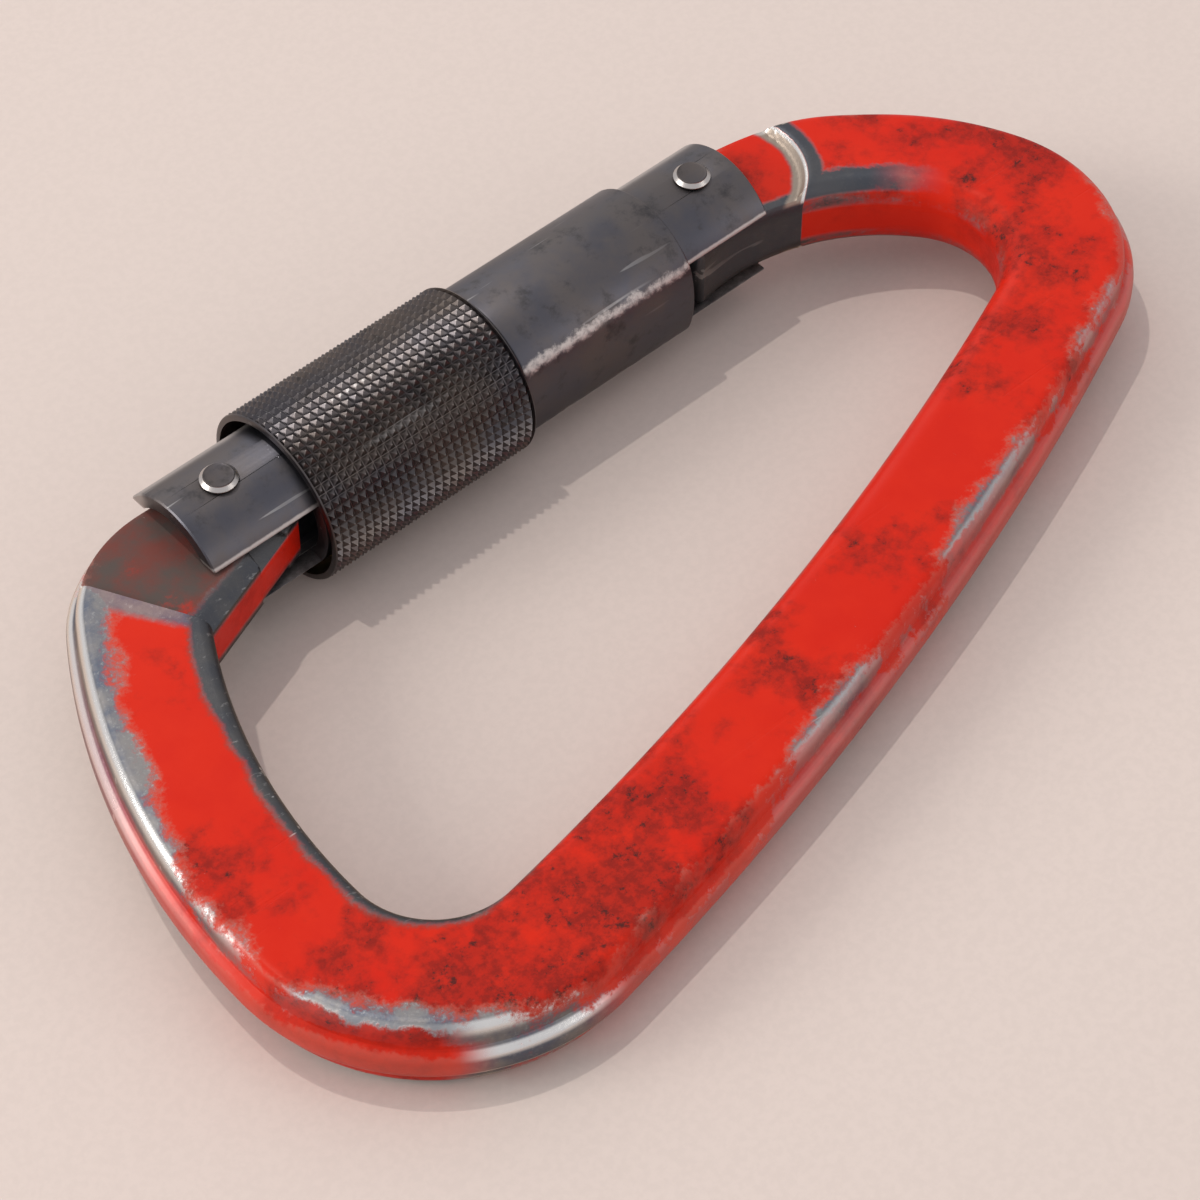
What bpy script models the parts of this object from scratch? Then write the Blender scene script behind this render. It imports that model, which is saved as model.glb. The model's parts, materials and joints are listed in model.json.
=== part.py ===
"""Locking carabiner for keys: a forged D-shaped body, a sprung tubular gate and a screw sleeve.

Sizes are in millimetres. In the drawing frame the latch pin's axis is the origin, +X runs along the gate
towards the hinge, -Y points into the D, and the body's mid-plane is z = 0. The finished model is moved so
that the middle of its bounding box is the world origin.
"""

import math

import bmesh
import bpy
from mathutils import Matrix, Vector

METRE = 0.001

# Overall sizes
PIN_SPAN = 47.7          # latch pin to hinge pin
NOSE_REACH = 25.4        # latch pin to the outside of the nose bow
BEND_REACH = 27.1        # hinge pin to the outside of the hinge bend
DEPTH = 51.4             # gate axis to the outside of the heel

# Body bar
BAR_WIDTH = 10.7
BAR_HALF_THICK = 3.4
TONGUE_HALF_THICK = 2.8
TONGUE_OUTER = 4.5       # gate axis to the outer edge of both tongues
NOSE_RADIUS = 12.0
NOSE_BACK = 5.5          # latch pin to the nose arc's centre, away from the hinge
HEEL_RADIUS = 17.5
SPINE_RADIUS = 300.0
BEND_RADIUS = 14.0
BEND_DROP = 17.2         # gate axis to the bend's centre
BEND_WEB = 10.95         # bar width at the bend
BEND_INNER_RADIUS = 7.0
BEND_INNER_DROP = 15.8   # gate axis to the inner bend's centre
ARM_TURN = 20.0          # degrees, where the bend opens into the arm
ARM_INNER = 4.5          # gate axis to the arm's inner edge
ARM_INNER_RADIUS = 18.0
NOSE_TIP = 3.9           # latch pin to the nose tongue's tip
NOSE_TIP_INNER = 4.1     # gate axis to the inner corner of the tip
NOSE_TAPER = 21.0        # degrees, slope of the nose tongue's inner edge
NOSE_STEP_ANGLE = 130.0  # degrees, where the step meets the nose arc
HINGE_STEP_RADIUS = 6.9
HINGE_STEP_AHEAD = 3.6   # hinge pin to the step arc's centre, away from the latch
HINGE_STEP_RISE = 0.75   # gate axis to the step arc's centre, outward
HINGE_STEP_END = -60.0   # degrees, where the step arc runs straight to the inner edge
TONGUE_END = 3.7         # hinge pin to the flat end of the hinge tongue

# Bar section: offset from the outer edge and height, as shares of the half thickness
LIP_OUT = 0.8
SHOULDER = 2.1
INNER_ROUND_NOSE = 1.1
INNER_ROUND_SPINE = 2.2

# Gate tube
GATE_ANGLE = 28.0        # degrees, opening travel
TUBE_RADIUS = 5.9
TUBE_WALL = 1.2
BARREL_STEP = 0.6        # barrel radius over tube radius
BARREL_SIDE_STEP = 0.2   # the same across the side faces
BARREL_SIDE_CURVE = 1.72  # side face radius over barrel radius
BARREL_END = 5.1         # hinge pin to the end of the barrel
CHEEK_LENGTH = 3.65      # hinge pin to the end of the hinge cheeks
NOSE_CHEEK = 4.63        # latch pin to the end of the nose cheeks
NOSE_SLOT = 5.2          # latch pin to the root of the nose slot
SIDE_GAP = 0.3           # cheek to tongue
RUN_GAP = 0.15           # between round pieces that turn or slide
EDGE = 0.25              # small chamfers

# Screw sleeve
SLEEVE_WALL = 0.6
SLEEVE_START = 4.87      # latch pin to the sleeve's nose end
SLEEVE_LENGTH = 20.06
BUSH_WALL = 0.5
BUSH_LENGTH = 13.0
BUSH_GAP = 0.9           # bush to friction ring
RING_INSET = 1.46        # friction ring to the sleeve's barrel end
RING_LENGTH = 1.0
RING_MOUTH = 70.0        # degrees left open in the friction ring

# Pins
PIN_RADIUS = 1.0
HEAD_BASE = 1.45
HEAD_TOP = 1.2
HEAD_RISE = 0.56         # head above the tube
STUD_REACH = 0.9         # stud beyond the tongue's face into its groove

# Return spring
PLUNGER_TIP = 2.6
PLUNGER_HEAD = 3.0
PLUNGER_NECK = 2.4
SPIGOT_RADIUS = 2.2
SPIGOT_LENGTH = 3.5
SPRING_RADIUS = 3.55
SPRING_WIRE = 0.8
SPRING_TURNS = 6
SPRING_ROOM = 12.0       # plunger shoulder to spring seat
SEAT_LENGTH = 2.4

# Places worked out from the sizes
LEFT = -NOSE_REACH
RIGHT = PIN_SPAN + BEND_REACH
TUBE_BORE = TUBE_RADIUS - TUBE_WALL
BARREL_RADIUS = TUBE_RADIUS + BARREL_STEP
BUSH_BORE = TUBE_RADIUS + RUN_GAP + 0.05
BUSH_RADIUS = BUSH_BORE + BUSH_WALL
SLEEVE_BORE = BUSH_RADIUS + RUN_GAP
SLEEVE_RADIUS = SLEEVE_BORE + SLEEVE_WALL
PLUNGER_RADIUS = TUBE_BORE - SIDE_GAP + 0.05
CENTRE = Vector(((LEFT + RIGHT) / 2, (SLEEVE_RADIUS - DEPTH) / 2, 0))
HINGE = Vector((PIN_SPAN, 0, 0))
CHEEK_FLOOR = TONGUE_HALF_THICK + SIDE_GAP
STOP_ANGLE = math.radians(180 + GATE_ANGLE)
STOP_REACH = BARREL_END - 0.25   # hinge pin to the face that stops the open gate
CAM_DROP = (STOP_REACH + TONGUE_END * math.cos(STOP_ANGLE)) / -math.sin(STOP_ANGLE)
HEAD_SEAT = TUBE_RADIUS + 0.08
SEGMENTS = 48


# Plane geometry

def polar(centre, radius, degrees):
    """A point at an angle on a circle."""
    angle = math.radians(degrees)
    return Vector((centre[0] + radius * math.cos(angle), centre[1] + radius * math.sin(angle)))


def arc(centre, radius, start, end, count=24):
    """Points along an arc, both ends included."""
    return [polar(centre, radius, start + (end - start) * i / count) for i in range(count + 1)]


def heading(centre, point):
    """The angle of a point seen from a centre, from 0 to 360 degrees."""
    return math.degrees(math.atan2(point[1] - centre[1], point[0] - centre[0])) % 360


def even(points, count):
    """The same line with evenly spaced points."""
    steps = [0.0]
    for a, b in zip(points, points[1:]):
        steps.append(steps[-1] + (b - a).length)
    result = []
    i = 0
    for k in range(count + 1):
        target = steps[-1] * k / count
        while i < len(points) - 2 and steps[i + 1] < target:
            i += 1
        share = (target - steps[i]) / (steps[i + 1] - steps[i])
        result.append(points[i].lerp(points[i + 1], share))
    return result


def wrapping_centre(first, first_radius, second, second_radius, radius):
    """Centre of the big circle that wraps two small ones and lies to the left of the line between them."""
    a = radius - first_radius
    b = radius - second_radius
    span = second - first
    along = (a * a - b * b + span.length_squared) / (2 * span.length)
    across = math.sqrt(a * a - along * along)
    unit = span.normalized()
    return first + unit * along + Vector((-unit.y, unit.x)) * across


# Body outline

HEEL = Vector((LEFT + HEEL_RADIUS, HEEL_RADIUS - DEPTH))
BEND = Vector((RIGHT - BEND_RADIUS, -BEND_DROP))
BEND_INNER = Vector((RIGHT - BEND_WEB - BEND_INNER_RADIUS, -BEND_INNER_DROP))
NOSE = Vector((-NOSE_BACK, TONGUE_OUTER - NOSE_RADIUS))
ARM_SINE = math.sin(math.radians(ARM_TURN))
ARM_RADIUS = (TONGUE_OUTER + BEND_DROP - BEND_RADIUS * ARM_SINE) / (1 - ARM_SINE)
ARM = polar(BEND, ARM_RADIUS - BEND_RADIUS, 180 + ARM_TURN)


def nose_bow():
    """Centre and radius of the bow that touches the nose arc and the bar's left side."""
    run = LEFT - NOSE.x
    drop = HEEL.y - NOSE.y
    radius = (run * run + drop * drop - NOSE_RADIUS ** 2) / (-2 * (run + NOSE_RADIUS))
    return Vector((LEFT + radius, HEEL.y)), radius


def spine_arc(inset, bend, bend_radius):
    """Points along one edge of the spine, from the heel arc to the bend arc."""
    heel_radius = HEEL_RADIUS - inset
    radius = SPINE_RADIUS - inset
    centre = wrapping_centre(HEEL, heel_radius, bend, bend_radius, radius)
    return centre, arc(centre, radius, heading(centre, HEEL), heading(centre, bend))


def outer_edge():
    """The outer edge in six stretches, from the nose tip to the hinge tongue's end."""
    bow, bow_radius = nose_bow()
    bow_start = heading(bow, NOSE)
    spine_centre, spine = spine_arc(0, BEND, BEND_RADIUS)
    nose_line = [Vector((NOSE_TIP, TONGUE_OUTER))]
    tongue = nose_line + arc(NOSE, NOSE_RADIUS, 90, NOSE_STEP_ANGLE)
    bow_line = arc(NOSE, NOSE_RADIUS, NOSE_STEP_ANGLE, bow_start) + arc(bow, bow_radius, bow_start, 180)[1:]
    heel = arc(HEEL, HEEL_RADIUS, 180, heading(spine_centre, HEEL))
    bend = arc(BEND, BEND_RADIUS, heading(spine_centre, BEND) - 360, ARM_TURN)
    arm_end = Vector((PIN_SPAN - TONGUE_END, TONGUE_OUTER))
    arm = arc(ARM, ARM_RADIUS, ARM_TURN, 90) + [arm_end]
    return tongue, bow_line, heel, spine, bend, arm


def inner_edge():
    """The inner edge in the same six stretches."""
    bow, bow_radius = nose_bow()
    bow_radius -= BAR_WIDTH
    tip = Vector((NOSE_TIP, -NOSE_TIP_INNER))
    slope = Vector((-math.cos(math.radians(NOSE_TAPER)), -math.sin(math.radians(NOSE_TAPER))))
    from_bow = tip - bow
    half = from_bow.dot(slope)
    reach = -half + math.sqrt(half * half - from_bow.length_squared + bow_radius ** 2)
    corner = tip + slope * reach
    spine_centre, spine = spine_arc(BAR_WIDTH, BEND_INNER, BEND_INNER_RADIUS)
    arm_y = -ARM_INNER - ARM_INNER_RADIUS
    swing = ARM_INNER_RADIUS - BEND_INNER_RADIUS
    arm_x = BEND_INNER.x - math.sqrt(swing ** 2 - (BEND_INNER.y - arm_y) ** 2)
    arm_centre = Vector((arm_x, arm_y))
    arm_start = heading(arm_centre, BEND_INNER)
    arm_end = math.degrees(math.acos((PIN_SPAN - TONGUE_END - arm_x) / ARM_INNER_RADIUS))
    bow_line = arc(bow, bow_radius, heading(bow, corner), 180)
    heel = arc(HEEL, HEEL_RADIUS - BAR_WIDTH, 180, heading(spine_centre, HEEL))
    bend = arc(BEND_INNER, BEND_INNER_RADIUS, heading(spine_centre, BEND_INNER) - 360, arm_start)
    arm = arc(arm_centre, ARM_INNER_RADIUS, arm_start, arm_end)
    return [tip, corner], bow_line, heel, spine, bend, arm


STRETCH_COUNTS = (5, 13, 14, 18, 14, 12)
INNER_ROUNDS = (INNER_ROUND_NOSE, INNER_ROUND_NOSE, INNER_ROUND_NOSE, INNER_ROUND_SPINE,
                INNER_ROUND_SPINE, INNER_ROUND_SPINE, INNER_ROUND_NOSE)


def bar_section(width, inner_round):
    """Upper half of the bar's section from the outer edge to the inner one: offset and height."""
    tall = BAR_HALF_THICK
    outer = [(0.0, 0.0), (0.0, 0.15 * tall), (0.25 * LIP_OUT, 0.3 * tall), (LIP_OUT, 0.41 * tall),
             (1.2 * LIP_OUT, 0.72 * tall), (0.7 * SHOULDER, 0.95 * tall), (SHOULDER, tall)]
    inner = []
    for degrees in (90, 62, 36, 14):
        angle = math.radians(degrees)
        offset = inner_round * (1 - math.cos(angle))
        height = tall - inner_round * (1 - math.sin(angle))
        inner.append((width - offset, height))
    return outer + inner + [(width, 0.0)]


def new_object(name, mesh, origin, material):
    """An object whose own origin is at a place in the drawing frame."""
    mesh.transform(Matrix.Translation(-origin))
    mesh.transform(Matrix.Scale(METRE, 4))
    mesh.materials.append(material)
    obj = bpy.data.objects.new(name, mesh)
    obj.location = (origin - CENTRE) * METRE
    bpy.context.scene.collection.objects.link(obj)
    return obj


def finish_mesh(name, shape, smooth_angle=35.0):
    """A mesh from a bmesh, with doubles merged, faces outwards and sharp edges kept."""
    bmesh.ops.remove_doubles(shape, verts=shape.verts, dist=1e-5)
    bmesh.ops.recalc_face_normals(shape, faces=shape.faces)
    mesh = bpy.data.meshes.new(name)
    shape.to_mesh(mesh)
    shape.free()
    mesh.shade_smooth()
    mesh.set_sharp_from_angle(angle=math.radians(smooth_angle))
    return mesh


def loft(rings):
    """A closed body through rings of equal length."""
    shape = bmesh.new()
    rows = [[shape.verts.new(point) for point in ring] for ring in rings]
    count = len(rows[0])
    for low, high in zip(rows, rows[1:]):
        for i in range(count):
            j = (i + 1) % count
            shape.faces.new((low[i], low[j], high[j], high[i]))
    shape.faces.new(rows[0][::-1])
    shape.faces.new(rows[-1])
    return shape


def turned(profile, start=0.0, sweep=360.0, segments=SEGMENTS):
    """A closed profile of (x, radius) turned about the X axis; a part turn gets end faces."""
    shape = bmesh.new()
    full = sweep >= 360.0
    turns = segments if full else segments + 1
    rows = []
    for k in range(turns):
        angle = math.radians(start + sweep * k / segments)
        rows.append([shape.verts.new((x, r * math.cos(angle), r * math.sin(angle))) for x, r in profile])
    pairs = list(zip(rows, rows[1:]))
    if full:
        pairs.append((rows[-1], rows[0]))
    count = len(profile)
    for low, high in pairs:
        for i in range(count):
            j = (i + 1) % count
            shape.faces.new((low[i], high[i], high[j], low[j]))
    if not full:
        shape.faces.new(rows[0])
        shape.faces.new(rows[-1][::-1])
    return shape


def pin_stack(profile, segments=24):
    """A solid pin along Z from a list of (z, radius), closed at both ends."""
    rings = []
    for z, r in profile:
        ring = [(r * math.cos(math.tau * i / segments), r * math.sin(math.tau * i / segments), z)
                for i in range(segments)]
        rings.append(ring)
    return loft(rings)


def prism(points, low, high):
    """An upright prism on a plane outline."""
    return loft([[(p[0], p[1], z) for p in points] for z in (low, high)])


def cutter(name, shape):
    """A hidden solid that a Boolean takes away."""
    mesh = finish_mesh(name, shape)
    mesh.transform(Matrix.Translation(-CENTRE))
    mesh.transform(Matrix.Scale(METRE, 4))
    obj = bpy.data.objects.new(name, mesh)
    obj.hide_render = True
    obj.display_type = "WIRE"
    bpy.context.scene.collection.objects.link(obj)
    return obj


def cut(target, name, shape):
    """Take a shape away from an object."""
    modifier = target.modifiers.new(name, "BOOLEAN")
    modifier.operation = "DIFFERENCE"
    modifier.solver = "EXACT"
    modifier.object = cutter(name, shape)


def finish(name, colour, metallic, roughness):
    """A plain surface finish."""
    material = bpy.data.materials.new(name)
    material.use_nodes = True
    shader = material.node_tree.nodes["Principled BSDF"]
    shader.inputs["Base Color"].default_value = (*colour, 1.0)
    shader.inputs["Metallic"].default_value = metallic
    shader.inputs["Roughness"].default_value = roughness
    return material


# Body

def body_rings():
    """Sections along the bar, from the nose tip to the hinge tongue."""
    rings = []
    outer = outer_edge()
    inner = inner_edge()
    for k, count in enumerate(STRETCH_COUNTS):
        edge_out = even(outer[k], count)
        edge_in = even(inner[k], count)
        for i in range(count + 1):
            if k > 0 and i == 0:
                continue
            share = i / count
            inner_round = INNER_ROUNDS[k] * (1 - share) + INNER_ROUNDS[k + 1] * share
            across = edge_in[i] - edge_out[i]
            unit = across.normalized()
            half = bar_section(across.length, inner_round)
            upper = [(*(edge_out[i] + unit * e), z) for e, z in half]
            lower = [(x, y, -z) for x, y, z in upper[-2:0:-1]]
            rings.append(upper + lower)
    return rings


def add_body(paint):
    """The forged body with its two tongues, the latch grooves and the hinge bore."""
    body = new_object("body_frame", finish_mesh("body_frame", loft(body_rings())), Vector(), paint)
    step_out = polar(NOSE, NOSE_RADIUS, NOSE_STEP_ANGLE)
    step_in = inner_edge()[0][1]
    along = (step_in - step_out).normalized()
    ahead = Vector((-along.y, along.x))
    if ahead.x < 0:
        ahead = -ahead
    reach = NOSE_TIP - step_out.x + BAR_WIDTH
    near = step_out - along * BAR_WIDTH / 2
    far = step_in + along * BAR_WIDTH / 2
    nose_plan = [near, far, far + ahead * reach, near + ahead * reach]
    head_room = BAR_HALF_THICK + 1.0
    groove_half = PIN_RADIUS + SIDE_GAP
    groove_floor = TONGUE_HALF_THICK - STUD_REACH - SIDE_GAP
    groove_out = TONGUE_OUTER + NOSE_TIP_INNER + BAR_WIDTH
    drift = PIN_SPAN - math.sqrt(PIN_SPAN ** 2 - groove_out ** 2)
    groove_plan = arc((0, 0), groove_half, 180, 0, 10)
    groove_plan += [Vector((groove_half + drift, -groove_out)), Vector((-groove_half, -groove_out))]
    step_centre = HINGE.xy + Vector((HINGE_STEP_AHEAD, HINGE_STEP_RISE))
    step_plan = arc(step_centre, HINGE_STEP_RADIUS, 90, HINGE_STEP_END, 24)
    leave = math.radians(HINGE_STEP_END)
    step_plan.append(step_plan[-1] + Vector((math.sin(leave), -math.cos(leave))) * BAR_WIDTH)
    step_back = HINGE.x - TONGUE_END - BAR_WIDTH
    step_plan += [Vector((step_back, step_plan[-1].y)), Vector((step_back, step_plan[0].y))]
    for side, label in ((1, "upper"), (-1, "lower")):
        face = sorted((side * TONGUE_HALF_THICK, side * head_room))
        floor = sorted((side * groove_floor, side * head_room))
        cut(body, "cut_nose_step_" + label, prism(nose_plan, *face))
        cut(body, "cut_hinge_step_" + label, prism(step_plan, *face))
        cut(body, "cut_latch_groove_" + label, prism(groove_plan, *floor))
    bore_plan = arc(HINGE, PIN_RADIUS + RUN_GAP, 0, 360, 24)[:-1]
    cut(body, "cut_hinge_bore", prism(bore_plan, -head_room, head_room))
    cam_corner = HINGE.xy + Vector((-TONGUE_END, -CAM_DROP))
    stop_side = Vector((math.cos(STOP_ANGLE), math.sin(STOP_ANGLE)))
    stop_line = Vector((-stop_side.y, stop_side.x))
    top = cam_corner - stop_line * 0.01
    low = cam_corner + stop_line * 3 * ARM_INNER
    cut(body, "cut_gate_stop", prism([top, low, low + stop_side * BAR_WIDTH, top + stop_side * BAR_WIDTH],
                                     -head_room, head_room))
    return body


# Gate

def barrel_radius(angle):
    """Radius of the barrel's outside: round above and below, flatter at both sides."""
    side = TUBE_RADIUS + BARREL_SIDE_STEP
    curve = BARREL_SIDE_CURVE * BARREL_RADIUS
    shift = curve - side
    flat = math.sqrt(curve ** 2 - (shift * math.sin(angle)) ** 2) - shift * abs(math.cos(angle))
    return min(BARREL_RADIUS, flat)


def add_gate(steel):
    """The gate tube with a fork at each end, and its barrel with the flatter sides."""
    barrel_start = SLEEVE_START + SLEEVE_LENGTH + SIDE_GAP
    barrel_stop = PIN_SPAN - BARREL_END
    cheek_stop = PIN_SPAN + CHEEK_LENGTH
    soft = 0.6 * BARREL_SIDE_STEP
    stations = [(-NOSE_CHEEK, TUBE_RADIUS - EDGE, 0), (-NOSE_CHEEK + EDGE, TUBE_RADIUS, 0),
                (barrel_start, TUBE_RADIUS, 0), (barrel_start, BARREL_RADIUS - soft, 1),
                (barrel_start + soft, BARREL_RADIUS, 1), (barrel_stop - soft, BARREL_RADIUS, 1),
                (barrel_stop, BARREL_RADIUS - soft, 1), (barrel_stop, TUBE_RADIUS, 0),
                (cheek_stop - EDGE, TUBE_RADIUS, 0), (cheek_stop, TUBE_RADIUS - EDGE, 0)]
    shape = bmesh.new()
    rows = []
    for x, r, sided in stations:
        ring = []
        for i in range(SEGMENTS):
            angle = math.tau * i / SEGMENTS
            radius = barrel_radius(angle) - BARREL_RADIUS + r if sided else r
            ring.append(shape.verts.new((x, radius * math.cos(angle), radius * math.sin(angle))))
        rows.append(ring)
    for x in (cheek_stop, -NOSE_CHEEK):
        rows.append([shape.verts.new((x, TUBE_BORE * math.cos(math.tau * i / SEGMENTS),
                                      TUBE_BORE * math.sin(math.tau * i / SEGMENTS)))
                     for i in range(SEGMENTS)])
    for low, high in zip(rows, rows[1:] + rows[:1]):
        for i in range(SEGMENTS):
            j = (i + 1) % SEGMENTS
            shape.faces.new((low[i], low[j], high[j], high[i]))
    gate = new_object("gate_tube", finish_mesh("gate_tube", shape), HINGE, steel)
    wide = BARREL_RADIUS + 1.0
    nose_slot = [(-NOSE_CHEEK - 1, -wide), (NOSE_SLOT, -wide), (NOSE_SLOT, wide), (-NOSE_CHEEK - 1, wide)]
    slot_root = barrel_stop - 0.05
    hinge_slot = [(slot_root, -wide), (cheek_stop + 1, -wide), (cheek_stop + 1, wide), (slot_root, wide)]
    cut(gate, "cut_nose_slot", prism(nose_slot, -CHEEK_FLOOR, CHEEK_FLOOR))
    cut(gate, "cut_hinge_slot", prism(hinge_slot, -CHEEK_FLOOR, CHEEK_FLOOR))
    for centre, label in ((Vector(), "latch"), (HINGE, "hinge")):
        hole = arc(centre, PIN_RADIUS + RUN_GAP, 0, 360, 24)[:-1]
        cut(gate, "cut_pin_hole_" + label, prism(hole, -wide, wide))
    return gate


def head_profile(side):
    """Heights and radii of a formed rivet head, from the tube outwards."""
    return [(side * HEAD_SEAT, HEAD_BASE), (side * (HEAD_SEAT + 0.25 * HEAD_RISE), HEAD_BASE),
            (side * (TUBE_RADIUS + 0.9 * HEAD_RISE), HEAD_TOP + 0.06),
            (side * (TUBE_RADIUS + HEAD_RISE), HEAD_TOP - 0.06)]


def add_pins(pin_steel):
    """The hinge rivet through both cheeks, and the two latch studs."""
    head = head_profile(1)
    shank = [(HEAD_SEAT, PIN_RADIUS)]
    upper = shank + head
    lower = [(-z, r) for z, r in reversed(upper)]
    rivet = pin_stack(lower + upper)
    bmesh.ops.translate(rivet, verts=rivet.verts, vec=HINGE)
    new_object("hinge_rivet", finish_mesh("hinge_rivet", rivet), HINGE, pin_steel)
    toe = TONGUE_HALF_THICK - STUD_REACH
    for side, label in ((1, "upper"), (-1, "lower")):
        profile = [(toe, PIN_RADIUS - EDGE), (toe + EDGE, PIN_RADIUS)] + upper
        if side < 0:
            profile = [(-z, r) for z, r in reversed(profile)]
        name = "latch_stud_" + label
        new_object(name, finish_mesh(name, pin_stack(profile)), HINGE, pin_steel)


# Return spring

def add_spring(zinc, spring_steel):
    """The plunger that bears on the hinge tongue, its coil spring and the seat crimped in the tube."""
    tip = PIN_SPAN - TONGUE_END - SIDE_GAP
    neck = tip - PLUNGER_NECK
    shoulder = neck - PLUNGER_HEAD
    profile = [(tip, 0.0), (tip, PLUNGER_TIP - EDGE), (tip - EDGE, PLUNGER_TIP), (neck, PLUNGER_TIP),
               (neck, PLUNGER_RADIUS - EDGE), (neck - EDGE, PLUNGER_RADIUS), (shoulder, PLUNGER_RADIUS),
               (shoulder, SPIGOT_RADIUS), (shoulder - SPIGOT_LENGTH + EDGE, SPIGOT_RADIUS),
               (shoulder - SPIGOT_LENGTH, SPIGOT_RADIUS - EDGE), (shoulder - SPIGOT_LENGTH, 0.0)]
    new_object("spring_plunger", finish_mesh("spring_plunger", turned_solid(profile)), HINGE, zinc)
    seat = shoulder - SPRING_ROOM
    profile = [(seat, 0.0), (seat, PLUNGER_RADIUS - EDGE), (seat - EDGE, PLUNGER_RADIUS),
               (seat - SEAT_LENGTH + EDGE, PLUNGER_RADIUS), (seat - SEAT_LENGTH, PLUNGER_RADIUS - EDGE),
               (seat - SEAT_LENGTH, 0.0)]
    new_object("spring_seat", finish_mesh("spring_seat", turned_solid(profile)), HINGE, zinc)
    length = SPRING_ROOM - 2 * SIDE_GAP - SPRING_WIRE
    steps = 16 * SPRING_TURNS
    rings = []
    for k in range(steps + 1):
        turn = math.tau * SPRING_TURNS * k / steps
        x = seat + SIDE_GAP + SPRING_WIRE / 2 + length * k / steps
        outward = Vector((0, math.cos(turn), math.sin(turn)))
        centre = Vector((x, 0, 0)) + outward * SPRING_RADIUS
        ring = []
        for i in range(8):
            around = math.tau * i / 8
            ring.append(centre + outward * (SPRING_WIRE / 2 * math.cos(around))
                        + Vector((SPRING_WIRE / 2 * math.sin(around), 0, 0)))
        rings.append(ring)
    new_object("return_spring", finish_mesh("return_spring", loft(rings), 60.0), HINGE, spring_steel)


def turned_solid(profile, segments=36):
    """A solid of (x, radius) turned about the X axis; the first and last points lie on the axis."""
    shape = bmesh.new()
    rows = []
    for k in range(segments):
        angle = math.tau * k / segments
        rows.append([shape.verts.new((x, r * math.cos(angle), r * math.sin(angle)))
                     for x, r in profile[1:-1]])
    first = shape.verts.new((profile[0][0], 0, 0))
    last = shape.verts.new((profile[-1][0], 0, 0))
    for low, high in zip(rows, rows[1:] + rows[:1]):
        for i in range(len(low) - 1):
            shape.faces.new((low[i], high[i], high[i + 1], low[i + 1]))
        shape.faces.new((first, high[0], low[0]))
        shape.faces.new((last, low[-1], high[-1]))
    return shape


# Screw sleeve

def add_sleeve(gunmetal, brass, spring_steel):
    """The knurled sleeve, the threaded bush inside it and the split friction ring."""
    end = SLEEVE_START + SLEEVE_LENGTH
    profile = [(SLEEVE_START, SLEEVE_BORE), (SLEEVE_START, SLEEVE_RADIUS - EDGE),
               (SLEEVE_START + EDGE, SLEEVE_RADIUS), (end - EDGE, SLEEVE_RADIUS),
               (end, SLEEVE_RADIUS - EDGE), (end, SLEEVE_BORE)]
    axis = Vector((SLEEVE_START, 0, 0))
    new_object("lock_sleeve", finish_mesh("lock_sleeve", turned(profile[::-1], segments=64)), axis, gunmetal)
    outer = SLEEVE_BORE - RUN_GAP
    ring_stop = end - RING_INSET
    ring_start = ring_stop - RING_LENGTH
    stop = ring_start - BUSH_GAP
    start = stop - BUSH_LENGTH
    profile = [(start, BUSH_BORE), (start, outer), (stop, outer), (stop, BUSH_BORE)]
    new_object("thread_bush", finish_mesh("thread_bush", turned(profile[::-1], segments=64)), axis, brass)
    profile = [(ring_start, BUSH_BORE), (ring_start, outer), (ring_stop, outer), (ring_stop, BUSH_BORE)]
    ring = turned(profile[::-1], 90 + RING_MOUTH / 2, 360 - RING_MOUTH, 40)
    new_object("friction_ring", finish_mesh("friction_ring", ring), axis, spring_steel)


def main():
    for old in list(bpy.data.objects):
        bpy.data.objects.remove(old)
    paint = finish("worn_red_paint", (0.62, 0.032, 0.018), 0.0, 0.4)
    steel = finish("dark_steel", (0.09, 0.09, 0.1), 0.9, 0.38)
    gunmetal = finish("gunmetal", (0.07, 0.068, 0.07), 0.9, 0.42)
    pin_steel = finish("pin_steel", (0.2, 0.2, 0.22), 0.95, 0.3)
    zinc = finish("zinc", (0.5, 0.5, 0.5), 0.9, 0.4)
    spring_steel = finish("spring_steel", (0.4, 0.4, 0.42), 0.95, 0.3)
    brass = finish("brass", (0.6, 0.42, 0.16), 0.95, 0.35)
    add_body(paint)
    add_gate(steel)
    add_pins(pin_steel)
    add_spring(zinc, spring_steel)
    add_sleeve(gunmetal, brass, spring_steel)


main()
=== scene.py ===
"""Finished look of the screw-gate carabiner: a drop-forged bar under worn red paint, a dark tubular gate
and a knurled gunmetal sleeve. Lengths are in millimetres until a mesh is stored, in the drawing frame
whose origin is the latch pin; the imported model's frame has its origin in the middle of the object."""

import math
import json  # noqa: E402

import bmesh  # noqa: E402
import bpy  # noqa: E402
from bpy.props import FloatProperty, FloatVectorProperty, IntProperty, PointerProperty  # noqa: E402
from mathutils import Matrix, Vector  # noqa: E402


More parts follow.
